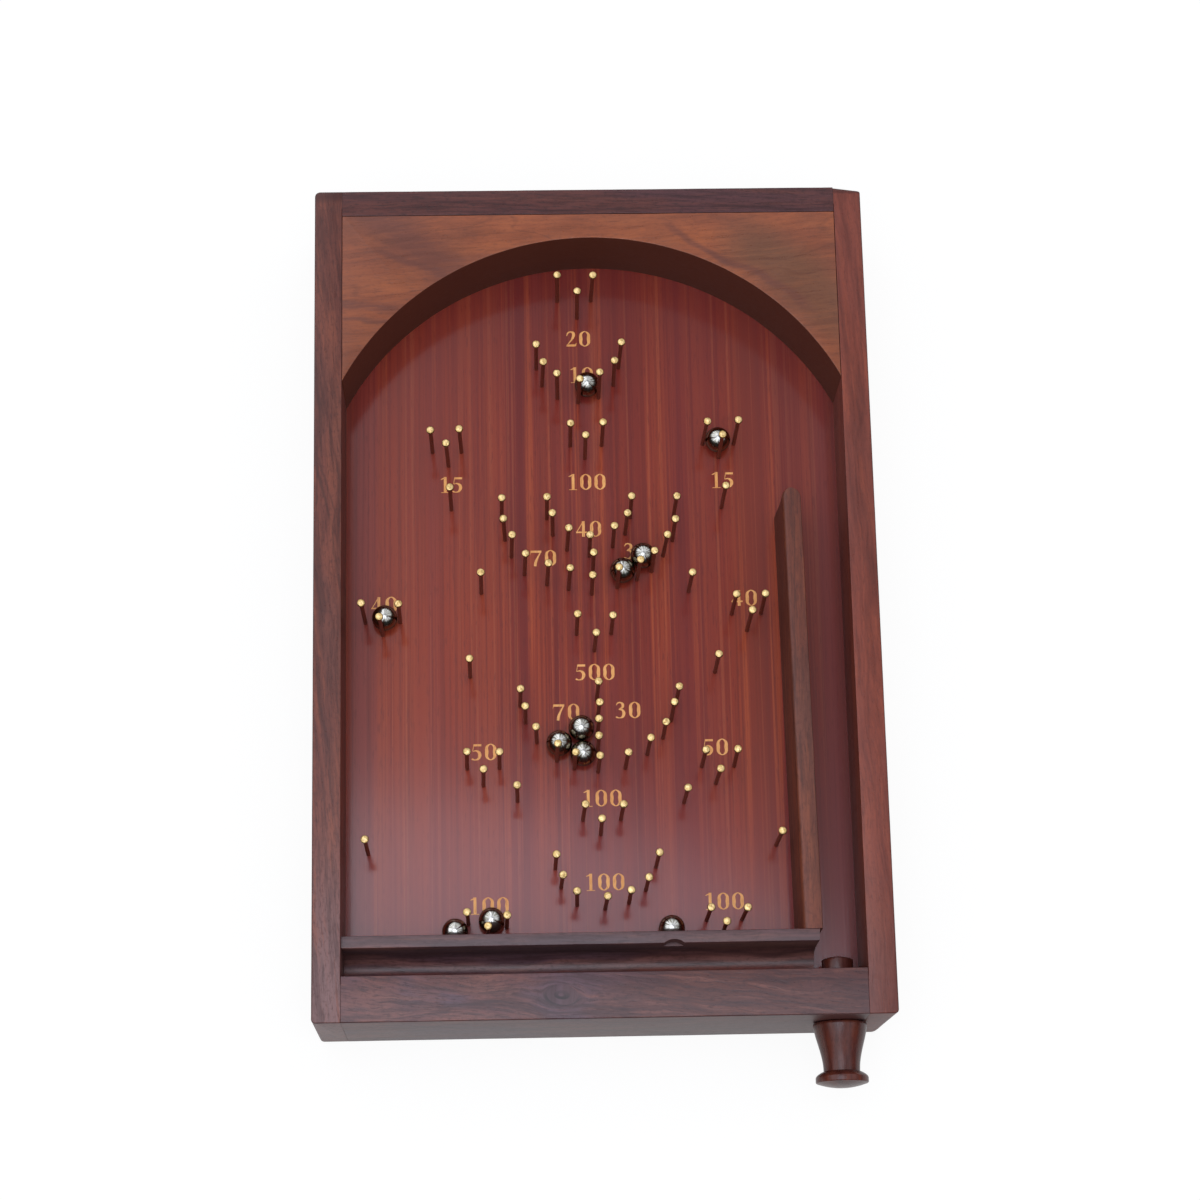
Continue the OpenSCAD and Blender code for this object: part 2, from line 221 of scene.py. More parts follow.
# Straight overhead the ceiling is dimmer. From the right it brightens by steps towards the left, with a
# window on each side, and a darker strip lies across it behind the game. It fades out far from its middle.
ceiling = upward.between(0.86, 0.92) * (ceiling_dim - ceiling_bright) + ceiling_bright
windows = (1 - rightward.between(-0.065, -0.030)) * 0.90 + rightward.between(0.090, 0.104)
fall_off = rightward.between(-0.05, 0.01) * 0.85 + rightward.between(0.0, 0.12) * 0.45
ceiling = ceiling * (2.15 - fall_off + windows) * (backward.between(0.145, 0.190) * 0.10 + 0.90)
strip = backward.between(0.20, 0.25) * (1 - backward.between(0.26, 0.30))
strip = strip * (rightward.between(-0.045, 0.03) * 0.8 + 0.2)
ceiling = faced.between(0.30, 0.65) * (1 - strip * 0.50) * ceiling + ceiling_edge
overhead = upward.between(0.05, 0.9) * (room_top - room_side) + room_side
seen = start.node("ShaderNodeLightPath", output="Is Camera Ray")
mirrored = start.node("ShaderNodeLightPath", output="Is Glossy Ray")
even = start.node("ShaderNodeBackground", {}, {0: (1, 1, 1, 1), 1: overhead})
pale = start.node("ShaderNodeBackground", {}, {0: ceiling_tint, 1: ceiling})
white = start.node("ShaderNodeBackground", {}, {0: (1, 1, 1, 1), 1: 1.0})
lit = start.node("ShaderNodeMixShader", {}, {0: mirrored, 1: even, 2: pale})
start.node("ShaderNodeOutputWorld", {}, {0: start.node("ShaderNodeMixShader", {}, {0: seen, 1: lit, 2: white})})
bpy.context.scene.world = room

lamp_data = bpy.data.lights.new("soft_lamp", "AREA")
lamp_data.shape = "DISK"
lamp_data.size = lamp_size
lamp_data.energy = lamp_power
lamp_data.color = lamp_tint
lamp = new_object("soft_lamp", lamp_data)
lamp.location = lamp_place
lamp.rotation_euler = (bench_place(0, 160, 0) - lamp_place).to_track_quat("-Z", "Y").to_euler()


# The four rails: dark red-brown hardwood, planed and butted at the corners, with satin lacquer.
# Their long edges are rubbed over by hand, so the easing wanders a little along each edge.
def extent(node, axis):
    """Where a CAD node begins and ends along an axis, in millimetres as bench_place takes them."""
    zero = front_y if axis == 1 else 0.0
    return [round((corner[axis] - zero) / MM, 2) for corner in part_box(node)]


inner_half, case_half = extent("right_rail", 0)
_, case_length = extent("right_rail", 1)
_, rail_height = extent("right_rail", 2)
_, front_rail = extent("front_rail", 1)
board_low, board_top = extent("playfield", 2)
side_rail = case_half - inner_half
top_rail = case_length - extent("top_rail", 1)[0]
groove_depth = 3.0
joint_gap = 0.03
rail_uneven = 0.22


def tube(name, *grids, loop=False):
    """One mesh of closed tubes, each from a grid of points (stations, ring, xyz) in millimetres: quads
    between neighbouring rings, and a flat cap on each end, or the last ring joined to the first in a
    loop. Doubled points are joined and the normals turned outwards."""
    points = []
    faces = []
    base = 0
    for grid in grids:
        stations, ring, _ = grid.shape
        across = np.arange(ring)
        next_one = (across + 1) % ring
        near = np.arange(stations - (not loop))[:, None] * ring
        far = (near + ring) % (stations * ring)
        quads = np.stack([near + across, near + next_one, far + next_one, far + across], -1) + base
        faces += quads.reshape(-1, 4).tolist()
        if not loop:
            faces.append((across[::-1] + base).tolist())
            faces.append((across + (stations - 1) * ring + base).tolist())
        points.append(grid.reshape(-1, 3))
        base += stations * ring
    places = np.concatenate(points) * MM
    places[:, 1] += front_y
    mesh = bpy.data.meshes.new(name)
    mesh.from_pydata(places.tolist(), [], faces)
    work = bmesh.new()
    work.from_mesh(mesh)
    bmesh.ops.remove_doubles(work, verts=work.verts, dist=1e-6)
    bmesh.ops.dissolve_degenerate(work, edges=work.edges, dist=1e-7)
    bmesh.ops.recalc_face_normals(work, faces=work.faces)
    work.to_mesh(mesh)
    work.free()
    return mesh


def place_piece(name, mesh, body, slot, material, *nodes, smooth=35):
    """Makes a mesh a piece of the game: shaded smooth up to that angle, in its material, riding on
    its body, and standing for the CAD nodes named last."""
    mesh.shade_smooth()
    mesh.set_sharp_from_angle(angle=np.radians(smooth))
    mesh.materials.clear()
    mesh.materials.append(material)
    piece = new_object(name, mesh)
    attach(piece, body)
    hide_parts(*nodes)
    return piece


def wander(along, seed, lengths=(70.0, 31.0, 13.0)):
    """A slow, smooth hand-made unevenness between -1 and 1: three sine waves of uneven length."""
    phases = np.random.default_rng(seed).uniform(0, 2 * np.pi, len(lengths))
    waves = [np.sin(2 * np.pi * along / length + phase) for length, phase in zip(lengths, phases)]
    return sum(waves) / len(lengths)


def drawn_in(distance, radius):
    """How far a face draws in near an end: a quarter circle of that radius, nothing beyond it."""
    return radius - np.sqrt(radius ** 2 - np.clip(radius - distance, 0, radius) ** 2)


def eased_bar(length, width, height, easing, corner, end_ease, groove, skew=0.0, worn=0.0, seed=0):
    """A bar along its own length, as points (stations, ring, [across, along, up]). Each station is a
    rectangle whose four corners are quarter circles that wander in radius. Towards each end the outer
    face draws in by the corner's radius, and top and underside by the end's easing. Between the
    groove's ends a notch is let into the inner face. Across is 0 on the outer face. Skew takes that
    much off the outer far corner, and worn is the radius that the near corner has at its foot."""
    fine = np.concatenate([[0, 0.02, 0.08], np.arange(0.18, 5.4, 0.18)])
    middle = np.arange(6.0, length - 6.0, 4.0)
    along = np.concatenate([fine, middle, length - fine[::-1]])
    cut = [groove[0], groove[0], groove[1], groove[1]]
    order = np.searchsorted(along, cut)
    along = np.insert(along, order, cut)
    notch = np.zeros_like(along)
    notch[order[0] + 1:order[3] + 3] = groove_depth
    outer = drawn_in(along, corner[0]) + drawn_in(length - along, corner[1])
    level = drawn_in(along, end_ease[0]) + drawn_in(length - along, end_ease[1])
    low_side = np.stack([outer, level], -1)[:, None, :]
    high_side = np.stack([along * 0 + width, height - level], -1)[:, None, :]
    turn = np.linspace(0, np.pi / 2, 6)
    corners = [(0, 0, np.pi), (1, 0, 1.5 * np.pi), (1, 1, 0.0), (0, 1, 0.5 * np.pi)]
    rings = []
    for k, (right, upper, start_turn) in enumerate(corners):
        side = np.array([right, upper])
        radius = (easing[k] * (1 + rail_uneven * wander(along, seed + k)))[:, None, None]
        if right:
            radius = np.where(notch[:, None, None] > 0, radius, 0.04)
        centre = np.where(side == 1, high_side - radius, low_side + radius)
        angle = start_turn + turn
        rings.append(centre + radius * np.stack([np.cos(angle), np.sin(angle)], -1)[None])
        if k == 1:
            face = along * 0 + width
            notch_points = [(face, board_low), (face - notch, board_low), (face - notch, board_top),
                            (face, board_top)]
            rings.append(np.stack([np.stack([a, a * 0 + z], -1) for a, z in notch_points], 1))
    ring = np.concatenate(rings, 1)
    outside = 1 - ring[:, :, 0] / width
    taper = np.clip((along - length + 9) / 9, 0, 1)[:, None]
    shift = skew * taper * outside
    foot = (drawn_in(along, worn) - drawn_in(along, min(worn, corner[0])))[:, None]
    across = ring[:, :, 0] + foot * outside * (1 - ring[:, :, 1] / height)
    return np.stack([across, along[:, None] - shift, ring[:, :, 1]], -1)


def finished(material, start, sockets):
    """Gives a material one principled shader with these values and links, and hands it back."""
    shader = start.node("ShaderNodeBsdfPrincipled", {}, sockets)
    start.node("ShaderNodeOutputMaterial", {}, {0: shader})
    return material


def timber(name, along, middle, seed, slant=0.0, gloss=0.28, lively=1.0, wild=0.003, band=(9, 95), knot=None,
           stained_beyond=None, upright_shade=0.0, clouds=None, figure=1.0, cast=(0.80, 1.10, 1.60), shaded=None,
           smoke=(), shine=0.5, calm=0.0, wall_rough=0.24, arris_shade=0.65, streaky=1.0):
    """Stained and lacquered hardwood, from its middle tone. Noise drawn out along the grain gives soft
    bands, flatter where it is calm, and slower noise turns them from warm to cool. Veins, streaks, fibres,
    pores and a faint mottle lie over them. Veins are the contour lines of a slow noise. Clouds are soft
    dark patches that lie at an angle of their own, and smoke is single streaks, some of grain and tone, some
    painted shade and one a painted highlight: their middles, angles, reaches along and across, depths and
    tones. Shaded gives the stretch, depth and tone of a colour painted towards the front end: a painted
    sheen on the left rail, and a darker tone on the right rail and towards the arch's tips. A far end may be
    stained beyond a line. Upright faces, and faces that slope as eased arrises do, are painted darker as
    painted shade. A knot parts the grain as a post parts a stream: a line's distance from the knot's axis
    is scaled by one less the squared ratio of the knot's radius to the distance."""
    material, start = blank_material(name)
    place = start.node("ShaderNodeTexCoord", output="Object")
    sideways = place.part(0)
    lengthwise = place.part(1)
    angle = np.radians(slant) - (np.pi / 2 if along == "y" else 0)
    turned = place.mapped(turn=angle)
    with_grain, over_grain, depth = [turned.part(axis) for axis in range(3)]
    if knot is not None:
        spot, radius = knot
        knot_u = spot.x * np.cos(angle) - spot.y * np.sin(angle)
        knot_v = spot.x * np.sin(angle) + spot.y * np.cos(angle)
        u = (with_grain - knot_u) * 0.6
        v = over_grain - knot_v
        far = u * u + v * v
        over_grain = v * (1 - radius ** 2 / far.maths("MAXIMUM", far, radius ** 2)) + knot_v

    def layer(per_length, per_width, detail, rough, offset):
        """Noise drawn out along the grain, by how much it changes to a metre along it and across it."""
        where = start.node("ShaderNodeCombineXYZ", {}, {
            0: with_grain * per_length + (seed * 3.7 + offset),
            1: over_grain * per_width + (seed * 1.9 - offset),
            2: depth * per_width + seed})
        return where.noise(1.0, detail, rough)

    drift = layer(11, 30, 2, 0.5, 17) - 0.5
    ripple = layer(70, 110, 2, 0.5, 29) - 0.5
    over_grain = over_grain + drift * (2 * wild) + ripple * (0.35 * wild)
    bands = (layer(band[0], band[1], 5, 0.62, 3) - 0.5) * (1 - calm) + 0.5
    hue = layer(band[0] * 1.6, band[1] * 0.55, 4, 0.55, 23)
    contour = abs(layer(band[0] * 0.5, band[1] * 0.45, 2, 0.5, 53) - 0.5)
    streaks = layer(30, 420, 3, 0.6, 41)
    fibres = layer(75, 950, 4, 0.65, 7)
    pores = layer(230, 1900, 2, 0.5, 9)
    mottle = layer(520, 760, 3, 0.65, 13)
    deep, warm, cool, line = [np.array(middle) * tone for tone in (
        (0.52, 0.50, 0.52), (1.40, 1.50, 1.25), cast, (0.30, 0.28, 0.34))]
    stops = [(0.32, deep), (0.49, middle), (0.66, warm)]
    colour = start.node("ShaderNodeValToRGB", {"stops": stops}, {0: bands})
    if clouds is not None:
        cloud_angle, cloud_scale, cloud_depth = clouds
        skewed = place.mapped(turn=-np.radians(cloud_angle))
        drawn_out = skewed.mapped((seed * 0.31, seed * 0.17, 0), scale=(cloud_scale, cloud_scale * 3.4, 1))
        cloud = drawn_out.noise(1.0, 4.0, 0.55)
        cloud_tone = np.multiply(middle, (0.50, 0.55, 0.85))
        colour = colour.coated((cloud.between(0.46, 0.66), cloud_depth, cloud_tone))
    colour = colour.coated(
        (hue.between(0.44, 0.62), 0.70 * lively, cool), (1 - hue.between(0.34, 0.46), 0.55 * lively, warm))
    # Single streaks: some are grain and tone of the wood, some painted shade, one a painted highlight.
    for smoke_x, smoke_y, smoke_angle, half_length, half_width, smoke_depth, smoke_tone in smoke:
        spot = bench_place(smoke_x, smoke_y, 0)
        run = np.cos(np.radians(smoke_angle))
        rise = np.sin(np.radians(smoke_angle))
        beside = (lengthwise - spot.y) * run - (sideways - spot.x) * rise + drift * 0.010 + ripple * 0.004
        ahead = (sideways - spot.x) * run + (lengthwise - spot.y) * rise
        off_line = abs(beside).between(half_width * 0.15 * MM, half_width * MM)
        off_end = abs(ahead).between(half_length * 0.45 * MM, half_length * MM)
        colour = colour.coated(((1 - off_line) * (1 - off_end), smoke_depth, smoke_tone))
    # A colour painted towards the front end: lighter where it is a painted sheen, darker elsewhere.
    if shaded is not None:
        full_y, clear_y, shade_depth, shade_tone = shaded
        colour = colour.coated((1 - lengthwise.between(full_y, clear_y), shade_depth, shade_tone))
    colour = colour.coated(
        (1 - contour.between(0.003, 0.016), 0.40 * figure, line),
        (1 - streaks.between(0.36, 0.50), 0.42 * figure * streaky, line),
        (streaks.between(0.54, 0.66), 0.45 * figure * streaky, warm),
        (1 - fibres.between(0.32, 0.56), 0.45 * figure, line),
        (fibres.between(0.56, 0.74), 0.40 * figure, warm),
        (pores.between(0.56, 0.70), 0.50 * figure, line),
        (mottle.between(0.48, 0.72), 0.40 * figure, line))
    if knot is not None:
        ring = far ** 0.5 * (1 / radius)
        wave = start.maths("SINE", ring * 8.0 + ripple * 9.0, 0)
        heart = 1 - ring.between(0.75, 1.35)
        below = 1 - v.between(-0.0016, 0.0014) * 0.65
        colour = colour.coated((heart * below, wave.between(0.0, 0.9) * 0.90 + 0.10, line * 0.40))
    if stained_beyond is not None:
        stain_place, soft = stained_beyond
        stain = (lengthwise + (fibres - 0.5) * 0.002).between(stain_place - soft, stain_place + soft)
        colour = colour.coated((stain, 0.75, line))
    # Painted shade: upright faces, and faces sloped as eased arrises are, take the dark line tone by how they
    # face.
    facing_up = start.node("ShaderNodeNewGeometry", output="Normal").part(2)
    upright = 1 - facing_up.between(0.3, 0.9)
    edge_shade_mask = facing_up.between(0.10, 0.45) * (1 - facing_up.between(0.80, 0.97))
    colour = colour.coated((edge_shade_mask, arris_shade, line), (upright, upright_shade, line))
    height = fibres * 0.6 - pores.between(0.55, 0.7) * 0.7 + mottle * 0.35
    bump = start.node("ShaderNodeBump", {}, {"Strength": 0.4, "Distance": 0.00005, "Height": height})
    roughness = fibres * 0.14 + mottle * 0.10 + upright * wall_rough + (gloss - 0.10)
    return finished(material, start, {
        "Base Color": colour, "Roughness": roughness, "Normal": bump, "IOR": 1.5, "Specular IOR Level": shine})


side_groove = (front_rail - groove_depth, case_length - top_rail + groove_depth)
left_bar = eased_bar(case_length, side_rail, rail_height, (0.5, 0.1, 0.35, 0.6), (1.6, 1.9), (0.5, 0.45),
                     side_groove, seed=1)
right_bar = eased_bar(case_length, side_rail, rail_height, (0.5, 0.1, 0.35, 0.6), (1.5, 1.1), (0.5, 1.6),
                      side_groove, skew=1.45, worn=5.2, seed=2)
left_grid = np.stack([left_bar[..., 0] - case_half, left_bar[..., 1], left_bar[..., 2]], -1)
right_grid = np.stack([case_half - right_bar[..., 0], right_bar[..., 1], right_bar[..., 2]], -1)
left_stain = front_y + (case_length - 3.6) * MM
# Of these streaks the two fine ones are dark lines in the grain, and the broad third one is painted shade at
# the rail's far end.
left_lines_and_far_shade = [(-97.7, 186, -80, 36, 0.9, 0.65, (0.062, 0.018, 0.013)),
              (-98.2, 200, -75, 20, 0.7, 0.50, (0.062, 0.018, 0.013)),
              (-98, 300, 90, 75, 16, 0.35, (0.105, 0.032, 0.025))]
# The near end is painted lighter and greyer, a painted sheen; upright faces and arrises are painted darker as
# shade.
left_wood = timber("left_rail_wood", "y", (0.172, 0.044, 0.029), seed=4, slant=-4.0, wild=0.005, lively=0.45,
                   figure=1.15, cast=(0.74, 1.10, 1.35), stained_beyond=(left_stain, 0.0018), smoke=left_lines_and_far_shade,
                   shaded=(front_y, front_y + 0.090, 0.75, (0.225, 0.127, 0.129)), shine=0.38, calm=0.40,
                   wall_rough=0.14, upright_shade=0.30)
place_piece("left_rail_planed", tube("left_rail", left_grid), "board", "rail_wood", left_wood, "left_rail")
stain_start = front_y + (case_length - 2.6) * MM
# The near end is painted darker; upright faces and arrises are painted darker as shade.
right_wood = timber("right_rail_wood", "y", (0.228, 0.049, 0.030), seed=9, slant=-2.2, lively=0.5, wild=0.005,
                    figure=0.6, cast=(0.80, 1.05, 1.35), stained_beyond=(stain_start, 0.0005),
                    shaded=(front_y, front_y + 0.085, 0.65, (0.116, 0.042, 0.038)), shine=0.33,
                    wall_rough=0.14, upright_shade=0.30)
place_piece("right_rail_planed", tube("right_rail", right_grid), "board", "rail_wood", right_wood, "right_rail")

cross_length = 2 * (inner_half - joint_gap)
cross_groove = (0.1, cross_length - 0.1)
top_bar = eased_bar(cross_length, top_rail, rail_height, (0.5, 0.1, 0.3, 0.45), (0.12, 0.12), (0.12, 0.12),
                    cross_groove, seed=3)
top_grid = np.stack([top_bar[..., 1] - cross_length / 2, case_length - top_bar[..., 0], top_bar[..., 2]], -1)
# Its eased arrises are painted darker, a painted shade.
top_wood = timber("top_rail_wood", "x", (0.094, 0.025, 0.023), seed=6, slant=0.8, band=(6, 150), wild=0.002,
                  figure=1.2, shine=0.36)
place_piece("top_rail_planed", tube("top_rail", top_grid), "board", "rail_wood", top_wood, "top_rail")



def middle_of(node, axis):
    """The middle of a CAD node along an axis, to a tenth of a millimetre."""
    return round(sum(extent(node, axis)) / 2, 1)


plunger_x = middle_of("plunger_rod", 0)
plunger_z = middle_of("plunger_rod", 2)
rod_bore = 3.05
spring_bore = 5.85
spring_seat, spring_far = extent("plunger_spring", 1)
front_bar = eased_bar(cross_length, front_rail, rail_height, (0.5, 0.1, 0.35, 0.5), (0.14, 0.14), (0.14, 0.14),
                      cross_groove, seed=5)
front_grid = np.stack([front_bar[..., 1] - cross_length / 2, front_bar[..., 0], front_bar[..., 2]], -1)
knot_place = bench_place(-15.8, 8.6, rail_height)
# A broad streak over the right half of the front rail, painted darker and browner: painted shade where its
# lacquer catches less light. Its upright faces and arrises are painted darker as shade too.
front_right_shade = [(66, 8, 0, 88, 30, 0.80, (0.088, 0.023, 0.017))]
front_wood = timber("front_rail_wood", "x", (0.140, 0.048, 0.046), seed=12, slant=4.5, lively=1.3, wild=0.008,
                    band=(16, 120), knot=(knot_place, 0.0036), clouds=(-14, 20, 0.45), figure=1.35,
                    cast=(0.68, 1.00, 1.55), smoke=front_right_shade, wall_rough=0.14, upright_shade=0.30, shine=0.44)


def drill(mesh, radius, start_y, end_y):
    """Cuts a round hole along the plunger's axis out of a mesh, and gives back the drilled mesh."""
    turn = np.linspace(0, 2 * np.pi, 64, endpoint=False)
    disc = np.stack([plunger_x + radius * np.cos(turn), turn * 0, plunger_z + radius * np.sin(turn)], -1)
    blank = new_object("blank", mesh)
    bit = new_object("bit", tube("bit", np.stack([disc + (0, start_y, 0), disc + (0, end_y, 0)])))
    cut = blank.modifiers.new("hole", "BOOLEAN")
    cut.operation = "DIFFERENCE"
    cut.solver = "EXACT"
    cut.object = bit
    drilled = bpy.data.meshes.new_from_object(blank.evaluated_get(bpy.context.evaluated_depsgraph_get()))
    bpy.data.objects.remove(blank)
    bpy.data.objects.remove(bit)
    return drilled


front_mesh = drill(tube("front_rail", front_grid), rod_bore, -1, front_rail + 1)
front_mesh = drill(front_mesh, spring_bore, spring_seat, front_rail + 1)
place_piece("front_rail_planed", front_mesh, "board", "rail_wood", front_wood, "front_rail")


# The field: a flat board let into the rails, faced with a striped red veneer and varnished bright, so
# that nails and walls mirror in it. The scores are printed on it in gilt figures with fine serifs.
def striped_veneer():
    """Veneer cut so that its stripes run up the board: noise with hardly any change along the grain
    gives wide and narrow ribbons. A few broad ribbons lie at places of their own, one of them painted
    shade beside the lane divider. The far end is painted darker and redder as shade from the arch, the
    stripes are painted flatter near the front end as a painted sheen, and painted shade lies along the
    rails. A clear varnish over it all mirrors the room."""
    material, start = blank_material("striped_veneer")
    place = start.node("ShaderNodeTexCoord", output="Object")
    across = place.part(0)
    lengthwise = place.part(1)

    def ribbons(per_width, per_length, detail, rough, offset):
        """Noise by how much it changes to a metre across the board and along it."""
        moved = place.mapped((offset, offset * 0.37, 0.2), scale=(per_width, per_length, 1))
        return moved.noise(1.0, detail, rough)

    wide = ribbons(48, 1.2, 3, 0.6, 4.1)
    purple = ribbons(90, 1.0, 2, 0.5, 6.6)
    narrow = ribbons(260, 1.6, 3, 0.6, 7.7)
    threads = ribbons(620, 2.0, 2, 0.5, 5.9)
    hairs = ribbons(1100, 9, 2, 0.6, 2.3)
    flecks = ribbons(1600, 150, 2, 0.6, 9.4)
    clouds = ribbons(14, 7, 2, 0.5, 1.3)
    stops = [(0.32, (0.176, 0.022, 0.018)), (0.48, (0.262, 0.037, 0.020)), (0.60, (0.330, 0.055, 0.023))]
    colour = start.node("ShaderNodeValToRGB", {"stops": stops}, {0: wide})
    colour = colour.coated(
        (purple.between(0.50, 0.66), 0.45, (0.180, 0.029, 0.032)),
        (narrow.between(0.56, 0.66), 0.66, (0.430, 0.082, 0.030)),
        (1 - narrow.between(0.32, 0.43), 0.60, (0.138, 0.019, 0.019)),
        (threads.between(0.57, 0.67), 0.48, (0.420, 0.100, 0.045)),
        (1 - threads.between(0.34, 0.44), 0.40, (0.145, 0.020, 0.018)),
        (hairs.between(0.52, 0.66), 0.38, (0.130, 0.018, 0.014)),
        (flecks.between(0.56, 0.70), 0.40, (0.120, 0.017, 0.014)),
        (clouds.between(0.50, 0.70), 0.25, (0.190, 0.032, 0.029)),
        (across.between(0.055, 0.095), 0.40, (0.192, 0.038, 0.044)))
    # The ribbon at 75 mm is painted shade along the lane divider's foot; the others are broad stripes of the
    # veneer.
    for ribbon_x, half_width, strength, tone in (
            (-62, 17, 0.12, (0.400, 0.080, 0.040)), (-40, 14, 0.22, (0.150, 0.022, 0.026)),
            (38, 14, 0.36, (0.150, 0.022, 0.028)), (60, 9, 0.20, (0.400, 0.080, 0.030)),
            (75, 7, 0.38, (0.150, 0.022, 0.021))):
        off_ribbon = abs(across - ribbon_x * MM).between(half_width * 0.3 * MM, half_width * MM)
        colour = colour.coated((1 - off_ribbon, strength, tone))
    # Painted shade: the far end, under the arch, is painted darker and redder, and strips along both rails are
    # painted dark. Near the front end the stripes are painted flatter, as the varnish's sheen would wash them
    # out: a painted sheen.
    arch_shade = lengthwise.between(front_y + 0.17, front_y + 0.32)
    sheen_wash = 1 - lengthwise.between(front_y + 0.030, front_y + 0.115)
    rail_shade = across.between(0.0885, 0.0928) + (1 - across.between(-0.0928, -0.0878))
    colour = colour.coated(
        (arch_shade, 0.50, (0.140, 0.010, 0.010)), (sheen_wash, 0.50, (0.222, 0.033, 0.033)),
        (rail_shade, 0.50, (0.095, 0.018, 0.019)))
    height = hairs + flecks * 0.5
    bump = start.node("ShaderNodeBump", {}, {"Strength": 0.2, "Distance": 0.00004, "Height": height})
    return finished(material, start, {
        "Base Color": colour, "Roughness": flecks * 0.05 + 0.11, "Normal": bump, "IOR": 1.5})


def reclothe(node, material):
    """Gives a CAD node that keeps its own mesh a material of the scene's."""
    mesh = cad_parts[node].data
    mesh.materials.clear()
    mesh.materials.append(material)


reclothe("playfield", striped_veneer())

pen_width = 0.84


def stroke(points, loop=False):
    """A pen stroke drawn through given points (x, y, half width), in figure heights: a smooth
    curve through them (each stretch a cubic between two points, its slopes from their neighbours),
    widened to both sides along its normal, and a hair thick."""
    fixed = np.array(points, float)
    count = len(fixed)
    before = np.roll(fixed, 1, 0) if loop else np.concatenate([fixed[:1], fixed[:-1]])
    after = np.roll(fixed, -1, 0) if loop else np.concatenate([fixed[1:], fixed[-1:]])
    slope = (after - before) / 2
    steps = 9
    t = np.linspace(0, 1, steps, endpoint=False)[:, None]
    last = count if loop else count - 1
    curve = []
    for k in range(last):
        following = (k + 1) % count
        rise = 3 * t ** 2 - 2 * t ** 3
        curve.append(fixed[k] * (1 - rise) + fixed[following] * rise + slope[k] * (t * (1 - t) ** 2)
                     + slope[following] * (t ** 3 - t ** 2))
    curve = np.concatenate(curve if loop else [*curve, fixed[-1:]])
    ahead = np.roll(curve, -1, 0) - np.roll(curve, 1, 0) if loop else np.gradient(curve, axis=0)
    normal = np.stack([-ahead[:, 1], ahead[:, 0]], -1)
    normal = normal / np.linalg.norm(normal, axis=-1)[:, None]
    left = curve[:, :2] + normal * curve[:, 2:] * pen_width
    right = curve[:, :2] - normal * curve[:, 2:] * pen_width
    return left, right


# Each figure: its width, its open strokes and its closed loops, all in figure heights
figures = {
    "0": (0.70, [], [[(0.35, 0.97, 0.03), (0.13, 0.80, 0.09), (0.12, 0.50, 0.12), (0.13, 0.20, 0.09),
                      (0.35, 0.03, 0.03), (0.57, 0.20, 0.09), (0.58, 0.50, 0.12), (0.57, 0.80, 0.09)]]),
    "1": (0.62, [[(0.36, 0.02, 0.10), (0.36, 1.0, 0.10)], [(0.12, 0.02, 0.022), (0.60, 0.02, 0.022)],
                 [(0.10, 0.84, 0.02), (0.24, 0.90, 0.04), (0.40, 0.985, 0.012)]], []),
    "2": (0.66, [[(0.07, 0.70, 0.02), (0.14, 0.88, 0.05), (0.30, 0.955, 0.05), (0.47, 0.87, 0.10),
                  (0.47, 0.66, 0.10), (0.33, 0.40, 0.05), (0.08, 0.10, 0.02)],
                 [(0.05, 0.07, 0.07), (0.30, 0.08, 0.08), (0.54, 0.08, 0.08), (0.60, 0.12, 0.05),
                  (0.65, 0.24, 0.01)]], []),
    "3": (0.64, [[(0.06, 0.80, 0.02), (0.15, 0.93, 0.05), (0.30, 0.96, 0.045), (0.44, 0.86, 0.09),
                  (0.42, 0.68, 0.08), (0.20, 0.54, 0.02)],
                 [(0.20, 0.54, 0.02), (0.42, 0.50, 0.07), (0.50, 0.30, 0.11), (0.42, 0.10, 0.08),
                  (0.24, 0.035, 0.03), (0.08, 0.08, 0.06), (0.05, 0.12, 0.04)]], []),
    "4": (0.70, [[(0.47, 0.02, 0.10), (0.47, 0.98, 0.10)], [(0.03, 0.29, 0.055), (0.68, 0.29, 0.055)],
                 [(0.05, 0.27, 0.025), (0.26, 0.62, 0.03), (0.46, 0.97, 0.03)]], []),
    "5": (0.64, [[(0.17, 0.91, 0.075), (0.60, 0.91, 0.075)], [(0.16, 0.97, 0.02), (0.09, 0.56, 0.02)],
                 [(0.09, 0.55, 0.02), (0.30, 0.58, 0.05), (0.47, 0.46, 0.10), (0.50, 0.28, 0.11),
                  (0.40, 0.09, 0.07), (0.22, 0.035, 0.03), (0.08, 0.08, 0.06), (0.05, 0.12, 0.04)]], []),
    "7": (0.74, [[(0.06, 0.90, 0.08), (0.70, 0.90, 0.08)], [(0.07, 0.92, 0.02), (0.035, 0.72, 0.01)],
                 [(0.69, 0.93, 0.03), (0.50, 0.58, 0.06), (0.36, 0.25, 0.09), (0.32, 0.0, 0.09)]], []),
}
figure_height = 6.35
figure_gap = 0.15
print_thick = 0.03
scores = [("20", -4.2, 266.4), ("10", -3.3, 251.6), ("15", -53.6, 207.9), ("100", -2.1, 208.4),
          ("15", 49.6, 208.5), ("40", -1.7, 189.7), ("70", -19.1, 178.4), ("30", 16.1, 180.7),
          ("40", -79.1, 160.9), ("40", 56.4, 161.7), ("500", -0.4, 133.7), ("70", -11.5, 118.5),
          ("30", 11.6, 118.9), ("50", -42.2, 103.7), ("50", 43.8, 104.3), ("100", 1.2, 85.6),
          ("100", 1.5, 54.2), ("100", -41.0, 46.1), ("100", 45.1, 46.4)]


def printed(sides, corner, lift):
    """A stroke laid on the field with its corner at that place: four points round at each station."""
    left, right = [np.asarray(side) * figure_height + corner for side in sides]
    low = np.full((len(left), 1), board_top)
    high = low + print_thick + lift
    return np.stack([np.hstack([left, low]), np.hstack([left, high]), np.hstack([right, high]),
                     np.hstack([right, low])], 1)


